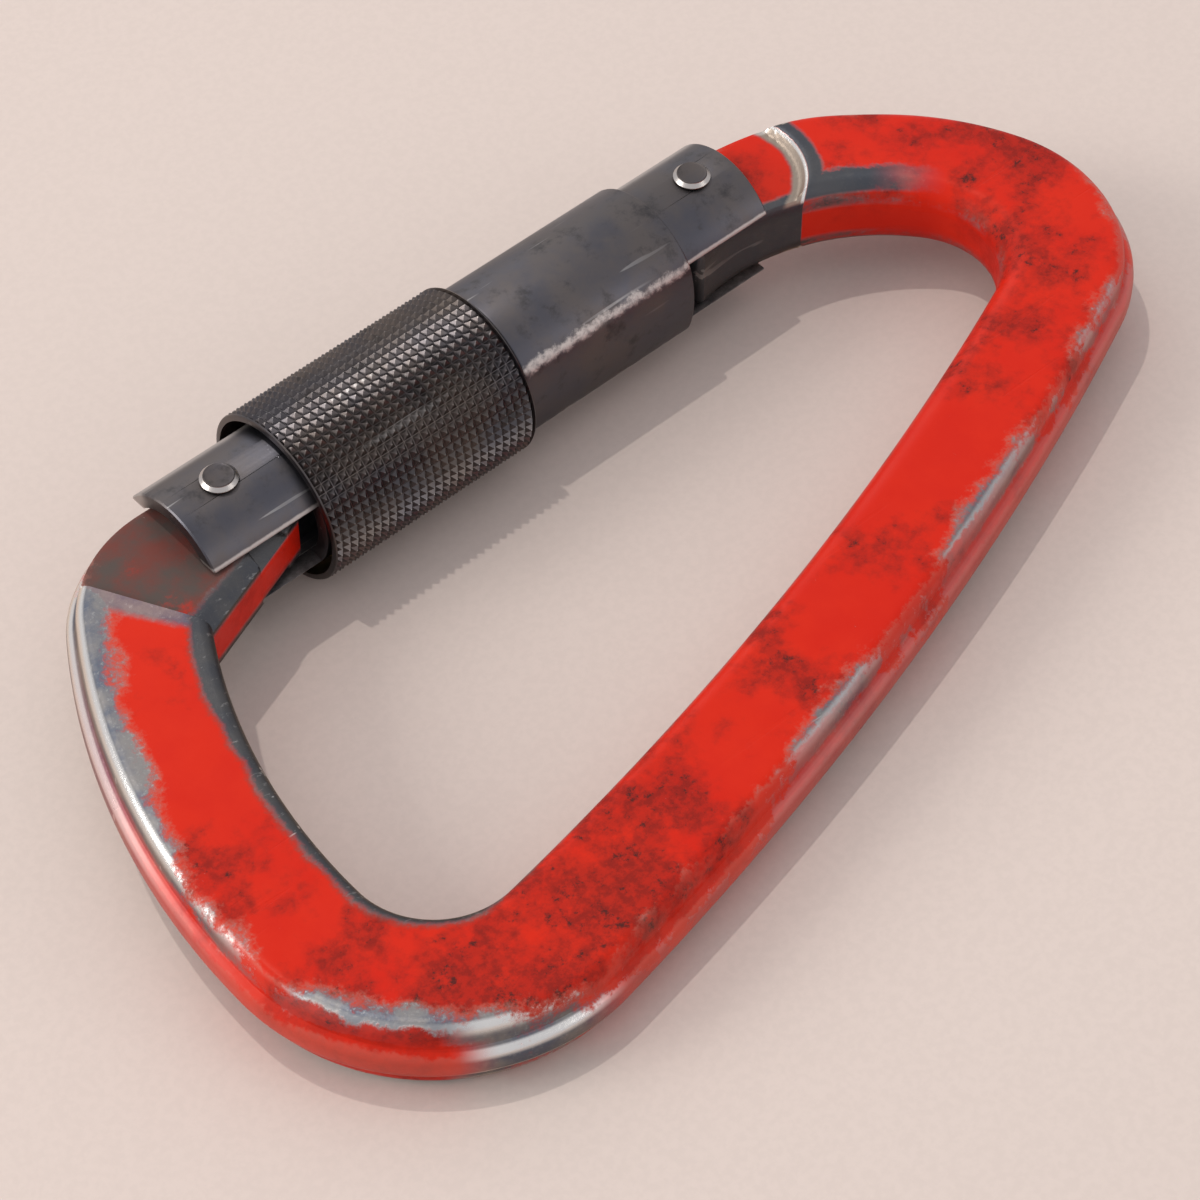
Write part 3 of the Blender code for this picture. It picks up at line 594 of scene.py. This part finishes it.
def even(points, count):
    """The same line with evenly spaced points."""
    steps = [0.0]
    for a, b in zip(points, points[1:]):
        steps.append(steps[-1] + (b - a).length)
    result = []
    i = 0
    for k in range(count + 1):
        target = steps[-1] * k / count
        while i < len(points) - 2 and steps[i + 1] < target:
            i += 1
        share = (target - steps[i]) / (steps[i + 1] - steps[i])
        result.append(points[i].lerp(points[i + 1], share))
    return result


def wrapping_centre(first, first_radius, second, second_radius, radius):
    """Centre of the big circle that wraps two small ones and lies left of the line between them."""
    a = radius - first_radius
    b = radius - second_radius
    span = second - first
    along = (a * a - b * b + span.length_squared) / (2 * span.length)
    across = math.sqrt(a * a - along * along)
    unit = span.normalized()
    return first + unit * along + Vector((-unit.y, unit.x)) * across


class Bar:
    """The bar's outline: matching stretches of its outer and inner edge, from nose tip to hinge tongue."""

    arm_turn = 20.0
    bend_inner_radius = 7.0
    bend_inner_drop = 15.8
    arm_inner = 4.5
    arm_inner_radius = 18.0
    nose_tip = 3.9
    nose_tip_inner = 4.1
    nose_taper = 21.0
    nose_step_angle = 130.0
    tongue_end = 3.7
    nose_centre_back = 5.5

    def __init__(self, sizes):
        self.sizes = sizes
        move = shift()
        self.left = BODY_BOX[0].x - move.x
        self.right = BODY_BOX[1].x - move.x
        self.depth = -(BODY_BOX[0].y - move.y)
        self.hinge = Vector((sizes.pin_span, 0))
        self.heel = Vector((self.left + sizes.heel_radius, sizes.heel_radius - self.depth))
        self.bend = Vector((self.right - sizes.bend_radius, -sizes.bend_drop))
        inner_x = self.right - sizes.bend_web - self.bend_inner_radius
        self.bend_inner = Vector((inner_x, -self.bend_inner_drop))
        self.nose = Vector((-self.nose_centre_back, sizes.tongue_outer - sizes.nose_radius))
        sine = math.sin(math.radians(self.arm_turn))
        self.arm_radius = (sizes.tongue_outer + sizes.bend_drop - sizes.bend_radius * sine) / (1 - sine)
        self.arm = polar(self.bend, self.arm_radius - sizes.bend_radius, 180 + self.arm_turn)
        run = self.left - self.nose.x
        drop = self.heel.y - self.nose.y
        radius = sizes.nose_radius
        self.bow_radius = (run * run + drop * drop - radius ** 2) / (-2 * (run + radius))
        self.bow = Vector((self.left + self.bow_radius, self.heel.y))

    def spine(self, inset, bend, bend_radius):
        """One edge of the spine."""
        heel_radius = self.sizes.heel_radius - inset
        radius = self.sizes.spine_radius - inset
        centre = wrapping_centre(self.heel, heel_radius, bend, bend_radius, radius)
        return centre, arc(centre, radius, heading(centre, self.heel), heading(centre, bend))

    def outer(self):
        """The outer edge, stretch by stretch."""
        z = self.sizes
        bow_start = heading(self.bow, self.nose)
        centre, spine = self.spine(0, self.bend, z.bend_radius)
        tongue = [Vector((self.nose_tip, z.tongue_outer))]
        tongue += arc(self.nose, z.nose_radius, 90, self.nose_step_angle)
        bow = arc(self.nose, z.nose_radius, self.nose_step_angle, bow_start, 24)
        bow += arc(self.bow, self.bow_radius, bow_start, 180)[1:]
        heel = arc(self.heel, z.heel_radius, 180, heading(centre, self.heel))
        bend = arc(self.bend, z.bend_radius, heading(centre, self.bend) - 360, self.arm_turn)
        arm = arc(self.arm, self.arm_radius, self.arm_turn, 90)
        arm.append(Vector((z.pin_span - self.tongue_end, z.tongue_outer)))
        return [tongue, bow, heel, spine, bend, arm]

    def inner(self):
        """The inner edge, stretch by stretch."""
        z = self.sizes
        bow_radius = self.bow_radius - z.bar_width
        tip = Vector((self.nose_tip, -self.nose_tip_inner))
        taper = math.radians(self.nose_taper)
        slope = Vector((-math.cos(taper), -math.sin(taper)))
        from_bow = tip - self.bow
        half = from_bow.dot(slope)
        corner = tip + slope * (-half + math.sqrt(half * half - from_bow.length_squared + bow_radius ** 2))
        centre, spine = self.spine(z.bar_width, self.bend_inner, self.bend_inner_radius)
        arm_y = -self.arm_inner - self.arm_inner_radius
        swing = self.arm_inner_radius - self.bend_inner_radius
        arm_x = self.bend_inner.x - math.sqrt(swing ** 2 - (self.bend_inner.y - arm_y) ** 2)
        arm_centre = Vector((arm_x, arm_y))
        arm_start = heading(arm_centre, self.bend_inner)
        arm_end = math.degrees(math.acos((z.pin_span - self.tongue_end - arm_x) / self.arm_inner_radius))
        bow = arc(self.bow, bow_radius, heading(self.bow, corner), 180)
        heel = arc(self.heel, z.heel_radius - z.bar_width, 180, heading(centre, self.heel))
        bend = arc(self.bend_inner, self.bend_inner_radius, heading(centre, self.bend_inner) - 360, arm_start)
        arm = arc(arm_centre, self.arm_inner_radius, arm_start, arm_end)
        return [[tip, corner], bow, heel, spine, bend, arm]


# Rows in each stretch, and the inner edge's rounding at the ends of the stretches, mm
STRETCH_COUNTS = (36, 110, 70, 100, 70, 130)
INNER_ROUNDS = (0.9, 1.1, 1.1, 1.4, 2.3, 2.6, 1.2)


def smooth_step(x):
    """0 below 0, 1 above 1, smooth between."""
    x = min(max(x, 0.0), 1.0)
    return x * x * (3 - 2 * x)


def half_section(width, tall, inner_round):
    """Upper half of the bar's section, outer edge to inner: offset and height."""
    lip = [(0.0, 0.0), (0.0, 0.3), (0.04, 0.62), (0.16, 0.92), (0.4, 1.15), (0.66, 1.3), (0.8, 1.42),
           (0.86, 1.62), (0.9, 2.0), (0.95, 2.4), (1.06, 2.78), (1.26, 3.08), (1.52, 3.28), (1.82, 3.38)]
    lip = [(e, z * tall / 3.4) for e, z in lip]
    start = 2.15
    stop = width - inner_round
    flat = [(start + (stop - start) * i / 12, tall) for i in range(13)]
    turn = []
    for i in range(1, 10):
        angle = math.radians(90 - 10 * i)
        turn.append((stop + inner_round * math.cos(angle), tall - inner_round * (1 - math.sin(angle))))
    below = tall - inner_round
    side = [(width, below * (1 - i / 3)) for i in range(4)]
    return lip + flat + turn + side


def step_way(flat, hinge, sizes):
    """How far a point lies beyond the hinge step, which is an arc that runs straight to the inner edge."""
    place = flat - hinge - Vector((sizes.step_ahead, sizes.step_rise))
    leave = math.radians(sizes.step_end)
    ahead = Vector((math.cos(leave), math.sin(leave)))
    if ahead.x * place.y - ahead.y * place.x > 0:
        return place.length - sizes.step_radius
    return place.dot(ahead) - sizes.step_radius


def hinge_step_height(way, sizes):
    """Height of the upper face near the hinge: low by the rivet, a hollow slope, then the full face."""
    share = way + 0.6
    rise = sizes.half_thick - sizes.tongue_half
    if share <= 0:
        return sizes.tongue_half
    if share >= 1:
        return sizes.half_thick + 0.5
    return sizes.tongue_half - 0.12 * math.sin(math.pi * min(1, share * 1.6)) + rise * share ** 1.7


def forged_bar(sizes):
    """The bar as one lofted mesh. Its UV maps give the run and the depth from the outer edge, and the depth
    from the inner edge and the height; cut faces and end caps have zeros there."""
    bar = Bar(sizes)
    outer = bar.outer()
    inner = bar.inner()
    move = shift()
    shape = bmesh.new()
    bar_uv = shape.loops.layers.uv.new("Bar")
    rim_uv = shape.loops.layers.uv.new("Rim")
    facts = {}
    rows = []
    step_centre = bar.hinge + Vector((sizes.step_ahead, sizes.step_rise))
    step_out = next(p for p in reversed(outer[5]) if step_way(p, bar.hinge, sizes) > 0.1)
    step_in = next(p for p in reversed(inner[5]) if step_way(p, bar.hinge, sizes) > 0.1)
    for k, count in enumerate(STRETCH_COUNTS):
        edge_out = even(outer[k], count)
        edge_in = even(inner[k], count)
        for i in range(count + 1):
            if k > 0 and i == 0 and k != 1:
                continue
            share = i / count
            inner_round = INNER_ROUNDS[k] * (1 - share) + INNER_ROUNDS[k + 1] * share
            start = edge_out[i]
            across = edge_in[i] - start
            width = across.length
            unit = across / width
            nudge = Vector((0, 0))
            if k == 1 and i == 0:
                nudge = (edge_out[1] - edge_out[0]) * 0.06
            bow_share = 0.0
            if k == 5:
                near = (start.lerp(edge_in[i], 0.5) - step_out.lerp(step_in, 0.5)).length
                bow_share = smooth_step(1 - near / 7.0)
            row = []
            section = half_section(width, sizes.half_thick, inner_round)
            points = [(e, z, 1) for e, z in section] + [(e, z, -1) for e, z in section[-2:0:-1]]
            for e, z, side in points:
                flat = start + unit * e + nudge
                if bow_share:
                    chord = step_out.lerp(step_in, e / width)
                    bowed = step_centre + (chord - step_centre).normalized() * (sizes.step_radius + 0.1)
                    weight = smooth_step(e / 1.6) * smooth_step((width - e) / 1.6)
                    flat = flat + (bowed - chord) * bow_share * weight
                limit = sizes.half_thick
                if k == 0:
                    limit = sizes.tongue_half
                    facet = 1.35
                    if width - e < facet and z > 0.5:
                        limit = sizes.tongue_half - 0.75 * (1 - (width - e) / facet)
                if k == 5:
                    limit = hinge_step_height(step_way(flat, bar.hinge, sizes), sizes)
                high = min(z, limit)
                vert = shape.verts.new((Vector((flat.x, flat.y, side * high)) + move) * MM)
                facts[vert] = ((k + share) / 6, e / 20, (width - e) / 20, high / 5)
                row.append(vert)
            rows.append(row)
    caps = skin(shape, rows)
    for face in shape.faces:
        for loop in face.loops:
            run, deep, rim, tall = (0, 0, 0, 0) if face in caps else facts[loop.vert]
            loop[bar_uv].uv = (run, deep)
            loop[rim_uv].uv = (rim, tall)
    return shape


# Meshes

def skin(shape, rows, closed=False):
    """Faces between rows of points. A closed skin joins its last row to the first; an open one gets two
    caps, which are returned."""
    caps = set()
    for low, high in zip(rows, rows[1:] + rows[:1] if closed else rows[1:]):
        for i in range(len(low)):
            j = (i + 1) % len(low)
            shape.faces.new((low[i], low[j], high[j], high[i]))
    if not closed:
        caps = {shape.faces.new(rows[0][::-1]), shape.faces.new(rows[-1])}
    bmesh.ops.recalc_face_normals(shape, faces=shape.faces)
    return caps


def coat(obj, material):
    """Leave an object with one material."""
    obj.data.materials.clear()
    obj.data.materials.append(material)


def store(name, shape, smooth=32.0):
    """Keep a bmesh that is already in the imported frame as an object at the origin."""
    mesh = bpy.data.meshes.new(name)
    shape.to_mesh(mesh)
    shape.free()
    mesh.shade_smooth()
    mesh.set_sharp_from_angle(angle=math.radians(smooth))
    obj = bpy.data.objects.new(name, mesh)
    bpy.context.scene.collection.objects.link(obj)
    return obj


def into_frame(shape):
    """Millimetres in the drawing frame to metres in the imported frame."""
    bmesh.ops.transform(shape, verts=shape.verts, matrix=Matrix.Scale(MM, 4) @ Matrix.Translation(shift()))


def bake(obj):
    """Apply an object's modifiers and leave a plain mesh."""
    graph = bpy.context.evaluated_depsgraph_get()
    mesh = bpy.data.meshes.new_from_object(obj.evaluated_get(graph), depsgraph=graph)
    obj.modifiers.clear()
    obj.data = mesh
    return obj


def prism(points, low, high):
    """An upright prism on a plane outline."""
    shape = bmesh.new()
    skin(shape, [[shape.verts.new((p[0], p[1], z)) for p in points] for z in (low, high)])
    return shape


def pin_hole(centre):
    """Outline of a pin's hole."""
    return arc(centre, PIN_HOLE, 0, 360, 32)[:-1]


def carve(obj, shapes):
    """Cut shapes out of an object, one after another."""
    tools = []
    for shape in shapes:
        into_frame(shape)
        tool = store("cutting_tool", shape)
        modifier = obj.modifiers.new("cut", "BOOLEAN")
        modifier.operation = "DIFFERENCE"
        modifier.solver = "EXACT"
        modifier.object = tool
        tools.append(tool)
    bake(obj)
    for tool in tools:
        bpy.data.objects.remove(tool)


def turned(rings, segments=96):
    """A closed skin of rings; each is (x, radius), and a radius is a number or a function of the angle."""
    shape = bmesh.new()
    rows = []
    for x, radius in rings:
        row = []
        for i in range(segments):
            angle = math.tau * i / segments
            r = radius(angle) if callable(radius) else radius
            row.append(shape.verts.new((x, r * math.cos(angle), r * math.sin(angle))))
        rows.append(row)
    skin(shape, rows, closed=True)
    return shape


def mirrored(profile):
    """A pin's profile turned over."""
    return [(-z, r) for z, r in reversed(profile)]


def turned_pin(centre, profile, segments=48):
    """A pin along Z from (height, radius) points, closed at both ends."""
    shape = bmesh.new()
    rows = []
    for z, r in profile:
        rows.append([shape.verts.new((centre[0] + r * math.cos(math.tau * i / segments),
                                      centre[1] + r * math.sin(math.tau * i / segments), z))
                     for i in range(segments)])
    skin(shape, rows)
    return shape


def wound_spring(low, high, wire, turns):
    """A coil of round wire that fills the box between two corners, its ends capped."""
    shape = bmesh.new()
    middle = (low + high) / 2
    reach = (high.z - low.z - wire) / 2
    length = high.x - low.x - wire
    steps = 48 * turns
    sides = 16
    rows = []
    for k in range(steps + 1):
        turn = math.tau * turns * k / steps
        outward = Vector((0, math.cos(turn), math.sin(turn)))
        centre = Vector((low.x + wire / 2 + length * k / steps, middle.y, middle.z)) + outward * reach
        row = []
        for i in range(sides):
            around = math.tau * i / sides
            point = centre + (outward * math.cos(around) + Vector((math.sin(around), 0, 0))) * wire / 2
            row.append(shape.verts.new(point * MM))
        rows.append(row)
    skin(shape, rows)
    return shape


# Pieces

class CARABINER_OT_body(bpy.types.Operator):
    """Forged bar with both tongues, the latch grooves and the gate's stop"""
    bl_idname = "carabiner.body"
    bl_label = "Forged body"

    def execute(self, context):
        z = context.scene.body_sizes
        body = store("forged_body", forged_bar(z))
        bar = Bar(z)
        groove = arc((0, 0), GROOVE_RADIUS, 180, 0, 16)
        groove += [Vector((GROOVE_MOUTH, -GROOVE_LENGTH)), Vector((-GROOVE_RADIUS, -GROOVE_LENGTH))]
        stop = math.radians(STOP_ANGLE)
        out = Vector((math.cos(stop), math.sin(stop)))
        line = Vector((-out.y, out.x))
        drop = (STOP_DROP + bar.tongue_end * out.x) / -out.y
        corner = bar.hinge + Vector((-bar.tongue_end, -drop))
        stop_plan = [corner - line * 0.01, corner + line * 12, corner + line * 12 + out * 8, corner + out * 8]
        over = z.half_thick + 0.8
        carve(body, [prism(groove, GROOVE_FLOOR, over), prism(groove, -over, -GROOVE_FLOOR),
                     prism(pin_hole(bar.hinge), -5, 5), prism(stop_plan, -5, 5)])
        coat(body, worn_red_paint(z.red, z))
        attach(body, "frame")
        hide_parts("body_frame")
        return {"FINISHED"}


class CARABINER_OT_gate(bpy.types.Operator):
    """Gate tube with a fork at each end and a barrel with flatter sides"""
    bl_idname = "carabiner.gate"
    bl_label = "Gate tube"

    def execute(self, context):
        z = context.scene.gate_sizes
        move = shift()
        nose_end = TUBE_BOX[0].x - move.x
        hinge_end = TUBE_BOX[1].x - move.x
        sleeve_end = SLEEVE_BOX[1].x - move.x
        barrel_start = sleeve_end + 0.3
        barrel_end = context.scene.body_sizes.pin_span - BARREL_BACK
        barrel = z.tube_radius + z.barrel_step
        curve = z.side_curve * barrel
        lean = curve - z.tube_radius - z.side_step

        def sided(inset):
            def radius(angle):
                flat = math.sqrt(curve ** 2 - (lean * math.sin(angle)) ** 2) - lean * abs(math.cos(angle))
                return min(barrel, flat) - inset
            return radius

        bore = z.tube_radius - z.tube_wall
        soft = z.edge_round
        rings = [(nose_end, z.tube_radius - 0.12), (nose_end + 0.12, z.tube_radius),
                 (barrel_start, z.tube_radius), (barrel_start, sided(soft)),
                 (barrel_start + 0.06, sided(soft * 0.35)), (barrel_start + 0.2, sided(0)),
                 (barrel_end - 0.2, sided(0)), (barrel_end - 0.06, sided(soft * 0.35)),
                 (barrel_end, sided(soft)),
                 (barrel_end, z.tube_radius), (hinge_end - 0.12, z.tube_radius),
                 (hinge_end, z.tube_radius - 0.12), (hinge_end, bore), (nose_end, bore)]
        shape = turned(rings)
        into_frame(shape)
        gate = store("gate_barrel", shape)
        root = barrel_end - 0.05
        cuts = []
        for low, high in ((nose_end - 1, NOSE_SLOT), (root, hinge_end + 1)):
            slot = [(low, -BEYOND), (high, -BEYOND), (high, BEYOND), (low, BEYOND)]
            cuts.append(prism(slot, -CHEEK, CHEEK))
        for pin in (0, context.scene.body_sizes.pin_span):
            cuts.append(prism(pin_hole((pin, 0)), -BEYOND, BEYOND))
        carve(gate, cuts)
        bevel = gate.modifiers.new("soft edges", "BEVEL")
        bevel.width = z.edge_round * MM
        bevel.segments = 2
        bevel.limit_method = "ANGLE"
        bevel.angle_limit = math.radians(50)
        bevel.use_clamp_overlap = True
        bake(gate)
        gate.data.shade_smooth()
        gate.data.set_sharp_from_angle(angle=math.radians(38))
        coat(gate, scuffed_steel_and_sheen("dark_steel", z.steel, crease_wear_and_far_sheen=True))
        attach(gate, "gate")
        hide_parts("gate_tube")
        return {"FINISHED"}


class CARABINER_OT_pins(bpy.types.Operator):
    """Hinge rivet and latch studs with formed, tapered heads"""
    bl_idname = "carabiner.pins"
    bl_label = "Rivet and studs"

    def execute(self, context):
        steel = scuffed_steel_and_sheen("pin_steel", (0.085, 0.078, 0.078), mix=0.6, flat_top=6.46)
        pin = context.scene.body_sizes.pin_span
        seat = context.scene.gate_sizes.tube_radius + 0.08
        head = [(seat, 1.0), (seat, 1.46), (seat + 0.05, 1.5), (seat + 0.10, 1.49), (seat + 0.36, 1.22),
                (seat + 0.43, 1.2), (seat + 0.46, 1.15), (seat + 0.44, 1.05), (seat + 0.43, 0.98)]
        stud = [(1.9, 0.8), (2.1, 1.0)] + head
        pieces = [("hinge_rivet_headed", (pin, 0), mirrored(head) + head, "hinge_rivet"),
                  ("latch_stud_top", (0, 0), stud, "latch_stud_upper"),
                  ("latch_stud_bottom", (0, 0), mirrored(stud), "latch_stud_lower")]
        for name, place, profile, node in pieces:
            shape = turned_pin(place, profile)
            into_frame(shape)
            obj = store(name, shape, 28)
            coat(obj, steel)
            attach(obj, "gate")
            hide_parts(node)
        return {"FINISHED"}


def knurl_tree(material):
    """Geometry nodes that set rings of small pyramids on a sleeve."""
    tree = bpy.data.node_groups.new("Pyramid knurl", "GeometryNodeTree")
    face = tree.interface
    face.new_socket("Geometry", in_out="OUTPUT", socket_type="NodeSocketGeometry")
    face.new_socket("Geometry", in_out="INPUT", socket_type="NodeSocketGeometry")
    names = (("Start", "Float"), ("Length", "Float"), ("Radius", "Float"), ("Axis Y", "Float"),
             ("Height", "Float"), ("Worn", "Float"), ("Rows", "Int"), ("Around", "Int"))
    for name, kind in names:
        face.new_socket(name, in_out="INPUT", socket_type="NodeSocket" + kind)
    n = Nodes(tree)
    given = n.new("NodeGroupInput").outputs
    link = tree.links.new
    pitch = n.math("DIVIDE", given["Length"], given["Rows"])
    turn = n.math("DIVIDE", math.tau, given["Around"])
    arc_pitch = n.times(turn, given["Radius"])
    points = n.new("GeometryNodePoints")
    link(n.times(given["Rows"], given["Around"]), points.inputs["Count"])
    index = n.new("GeometryNodeInputIndex").outputs[0]
    row = n.math("FLOOR", n.math("DIVIDE", n.plus(index, 0.5), given["Around"]))
    column = n.less(index, n.times(row, given["Around"]))
    angle = n.times(column, turn)
    along = n.plus(given["Start"], n.times(n.plus(row, 0.5), pitch))
    side = n.plus(given["Axis Y"], n.times(n.math("COSINE", angle), given["Radius"]))
    link(n.vector(along, side, n.times(n.math("SINE", angle), given["Radius"])), points.inputs["Position"])
    cone = n.new("GeometryNodeMeshCone")
    cone.fill_type = "NGON"
    cone.inputs["Vertices"].default_value = 4
    cone.inputs["Radius Bottom"].default_value = 1.0
    link(given["Worn"], cone.inputs["Radius Top"])
    cone.inputs["Depth"].default_value = 1.0
    square = n.new("GeometryNodeTransform")
    link(cone.outputs["Mesh"], square.inputs["Geometry"])
    square.inputs["Rotation"].default_value = (0, 0, math.radians(45))
    shaped = n.new("GeometryNodeTransform")
    link(square.outputs[0], shaped.inputs["Geometry"])
    half = math.sqrt(0.5)
    link(n.vector(n.times(pitch, half), n.times(arc_pitch, half), given["Height"]),
         shaped.inputs["Scale"])
    placed = n.new("GeometryNodeInstanceOnPoints")
    link(points.outputs[0], placed.inputs["Points"])
    link(shaped.outputs[0], placed.inputs["Instance"])
    euler = n.new("FunctionNodeEulerToRotation")
    link(n.vector(n.less(angle, math.pi / 2)), euler.inputs[0])
    link(euler.outputs[0], placed.inputs["Rotation"])
    joined = n.new("GeometryNodeJoinGeometry")
    realized = n.new("GeometryNodeRealizeInstances")
    finish = n.new("GeometryNodeSetMaterial")
    finish.inputs["Material"].default_value = material
    link(placed.outputs[0], joined.inputs[0])
    link(given["Geometry"], joined.inputs[0])
    link(joined.outputs[0], realized.inputs[0])
    link(realized.outputs[0], finish.inputs[0])
    link(finish.outputs[0], n.new("NodeGroupOutput").inputs[0])
    return tree


class CARABINER_OT_sleeve(bpy.types.Operator):
    """Screw sleeve with rings of worn pyramids"""
    bl_idname = "carabiner.sleeve"
    bl_label = "Knurled sleeve"

    def execute(self, context):
        z = context.scene.sleeve_sizes
        low, high = SLEEVE_BOX
        move = shift()
        start = low.x - move.x
        end = high.x - move.x
        radius = (high.y - low.y) / 2
        core = radius - z.height
        bore = radius - 0.6
        edge = 0.16

        rings = [(start, bore), (start, radius - 0.3), (start + 0.05, radius - 0.14),
                 (start + edge, radius - 0.08), (start + edge + 0.12, core),
                 (end - edge - 0.12, core), (end - edge, radius - 0.08),
                 (end - 0.05, radius - 0.14), (end, radius - 0.3), (end, bore)]
        shape = turned(rings, 116)
        into_frame(shape)
        sleeve = store("knurled_sleeve", shape, 30)
        gunmetal = scuffed_steel_and_sheen("gunmetal", z.gunmetal, tip_radius=radius, mix=0.4)
        tree = knurl_tree(gunmetal)
        modifier = sleeve.modifiers.new("knurl", "NODES")
        modifier.node_group = tree
        lip = (edge + 0.02) * MM
        values = {"Start": low.x * MM + lip, "Length": (high.x - low.x) * MM - 2 * lip,
                  "Radius": (core - 0.03) * MM, "Axis Y": HINGE_PLACE.y * MM,
                  "Height": z.height * MM, "Worn": z.worn, "Rows": z.rows, "Around": z.around}
        for item in tree.interface.items_tree:
            if item.in_out == "INPUT" and item.name in values:
                modifier[item.identifier] = values[item.name]
        bake(sleeve)
        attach(sleeve, "sleeve")
        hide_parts("lock_sleeve")
        return {"FINISHED"}


class CARABINER_OT_inside(bpy.types.Operator):
    """The spring, a coil attached to the plunger, and finishes for the other inner pieces"""
    bl_idname = "carabiner.inside"
    bl_label = "Inner pieces"

    def execute(self, context):
        zinc = turned_metal("zinc", (0.42, 0.42, 0.42), 0.4)
        wire = turned_metal("spring_steel", (0.35, 0.35, 0.37), 0.3)
        brass = turned_metal("brass", (0.55, 0.38, 0.15), 0.35)
        low, high = SPRING_BOX
        spring = store("return_coil", wound_spring(low, high, SPRING_WIRE, SPRING_TURNS), 60)
        coat(spring, wire)
        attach(spring, "plunger")
        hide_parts("return_spring")
        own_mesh(spring)
        finishes = {"spring_plunger": zinc, "spring_seat": zinc, "friction_ring": wire, "thread_bush": brass}
        for node, material in finishes.items():
            coat(frame["nodes"][node], material)
        return {"FINISHED"}


class CARABINER_OT_stage(bpy.types.Operator):
    """Pale floor under the resting object, soft lights and the camera"""
    bl_idname = "carabiner.stage"
    bl_label = "Stage"

    def execute(self, context):
        z = context.scene.stage_sizes
        scene = context.scene
        radius = (SLEEVE_BOX[1].y - SLEEVE_BOX[0].y) / 2
        heel_y = BODY_BOX[0].y + 2.1
        heel_z = BODY_BOX[0].z
        slope = 0.0
        for _ in range(8):
            slope = (-radius * math.sqrt(1 + slope * slope) - heel_z) / (HINGE_PLACE.y - heel_y)
        level = heel_z - slope * heel_y
        shape = bmesh.new()
        bmesh.ops.create_grid(shape, x_segments=2, y_segments=2, size=3.0)
        for vert in shape.verts:
            vert.co.z = level * MM + slope * vert.co.y
        floor = store("floor", shape)
        coat(floor, floor_finish(z.floor))
        eye = Vector((-132.38, -140.70, 226.93)) * MM
        aim = Vector((-8.13, -1.85, 0.0)) * MM
        data = bpy.data.cameras.new("camera")
        data.lens = z.lens
        data.sensor_width = 36.0
        data.clip_start = 0.01
        camera = bpy.data.objects.new("camera", data)
        camera.location = eye
        camera.rotation_euler = (aim - eye).to_track_quat("-Z", "Y").to_euler()
        scene.collection.objects.link(camera)
        scene.camera = camera
        sun = bpy.data.lights.new("sun", "SUN")
        sun.energy = z.sun
        sun.angle = math.radians(1.2)
        sun.color = (1.0, 0.955, 0.9)
        key = bpy.data.objects.new("sun", sun)
        key.rotation_euler = Vector((0.06, -0.40, -1.0)).to_track_quat("-Z", "Y").to_euler()
        scene.collection.objects.link(key)
        lamps = (("left_soft", (-0.62, 0.38, 0.34), 0.36, 3.4, (1.0, 0.97, 0.93)),
                 ("back_soft", (0.15, 0.6, 0.35), 0.4, 0.4, (1.0, 0.98, 0.96)),
                 ("front_soft", (0.36, -0.62, 0.34), 0.3, 0.6, (1.0, 0.97, 0.94)))
        for name, place, size, power, tone in lamps:
            area = bpy.data.lights.new(name, "AREA")
            area.size = size
            area.energy = power
            area.color = tone
            lamp = bpy.data.objects.new(name, area)
            lamp.location = place
            lamp.rotation_euler = (-Vector(place)).to_track_quat("-Z", "Y").to_euler()
            scene.collection.objects.link(lamp)
        world = bpy.data.worlds.new("soft sky")
        world.use_nodes = True
        sky = world.node_tree.nodes["Background"]
        sky.inputs["Color"].default_value = (0.86, 0.86, 0.9, 1.0)
        sky.inputs["Strength"].default_value = z.sky
        scene.world = world
        scene.view_settings.view_transform = "Standard"
        return {"FINISHED"}


class CARABINER_PT_panel(bpy.types.Panel):
    """The carabiner's pieces and sizes"""
    bl_label = "Carabiner"
    bl_idname = "CARABINER_PT_panel"
    bl_space_type = "VIEW_3D"
    bl_region_type = "UI"
    bl_category = "Carabiner"

    def draw(self, context):
        for operator in OPERATORS:
            self.layout.operator(operator.bl_idname)
        for group in (context.scene.body_sizes, context.scene.gate_sizes, context.scene.sleeve_sizes,
                      context.scene.stage_sizes):
            box = self.layout.box()
            for name in group.__annotations__:
                box.prop(group, name)


OPERATORS = (CARABINER_OT_body, CARABINER_OT_gate, CARABINER_OT_pins, CARABINER_OT_sleeve,
             CARABINER_OT_inside, CARABINER_OT_stage)
GROUPS = {"body_sizes": BodySizes, "gate_sizes": GateSizes, "sleeve_sizes": SleeveSizes,
          "stage_sizes": StageSizes}
CLASSES = tuple(GROUPS.values()) + OPERATORS + (CARABINER_PT_panel,)


def register():
    for item in CLASSES:
        bpy.utils.register_class(item)
    for name, group in GROUPS.items():
        setattr(bpy.types.Scene, name, PointerProperty(type=group))


def unregister():
    for name in GROUPS:
        delattr(bpy.types.Scene, name)
    for item in reversed(CLASSES):
        bpy.utils.unregister_class(item)


def main():
    register()
    bpy.ops.carabiner.body()
    bpy.ops.carabiner.gate()
    bpy.ops.carabiner.pins()
    bpy.ops.carabiner.sleeve()
    bpy.ops.carabiner.inside()
    bpy.ops.carabiner.stage()


if __name__ == "__main__":
    main()
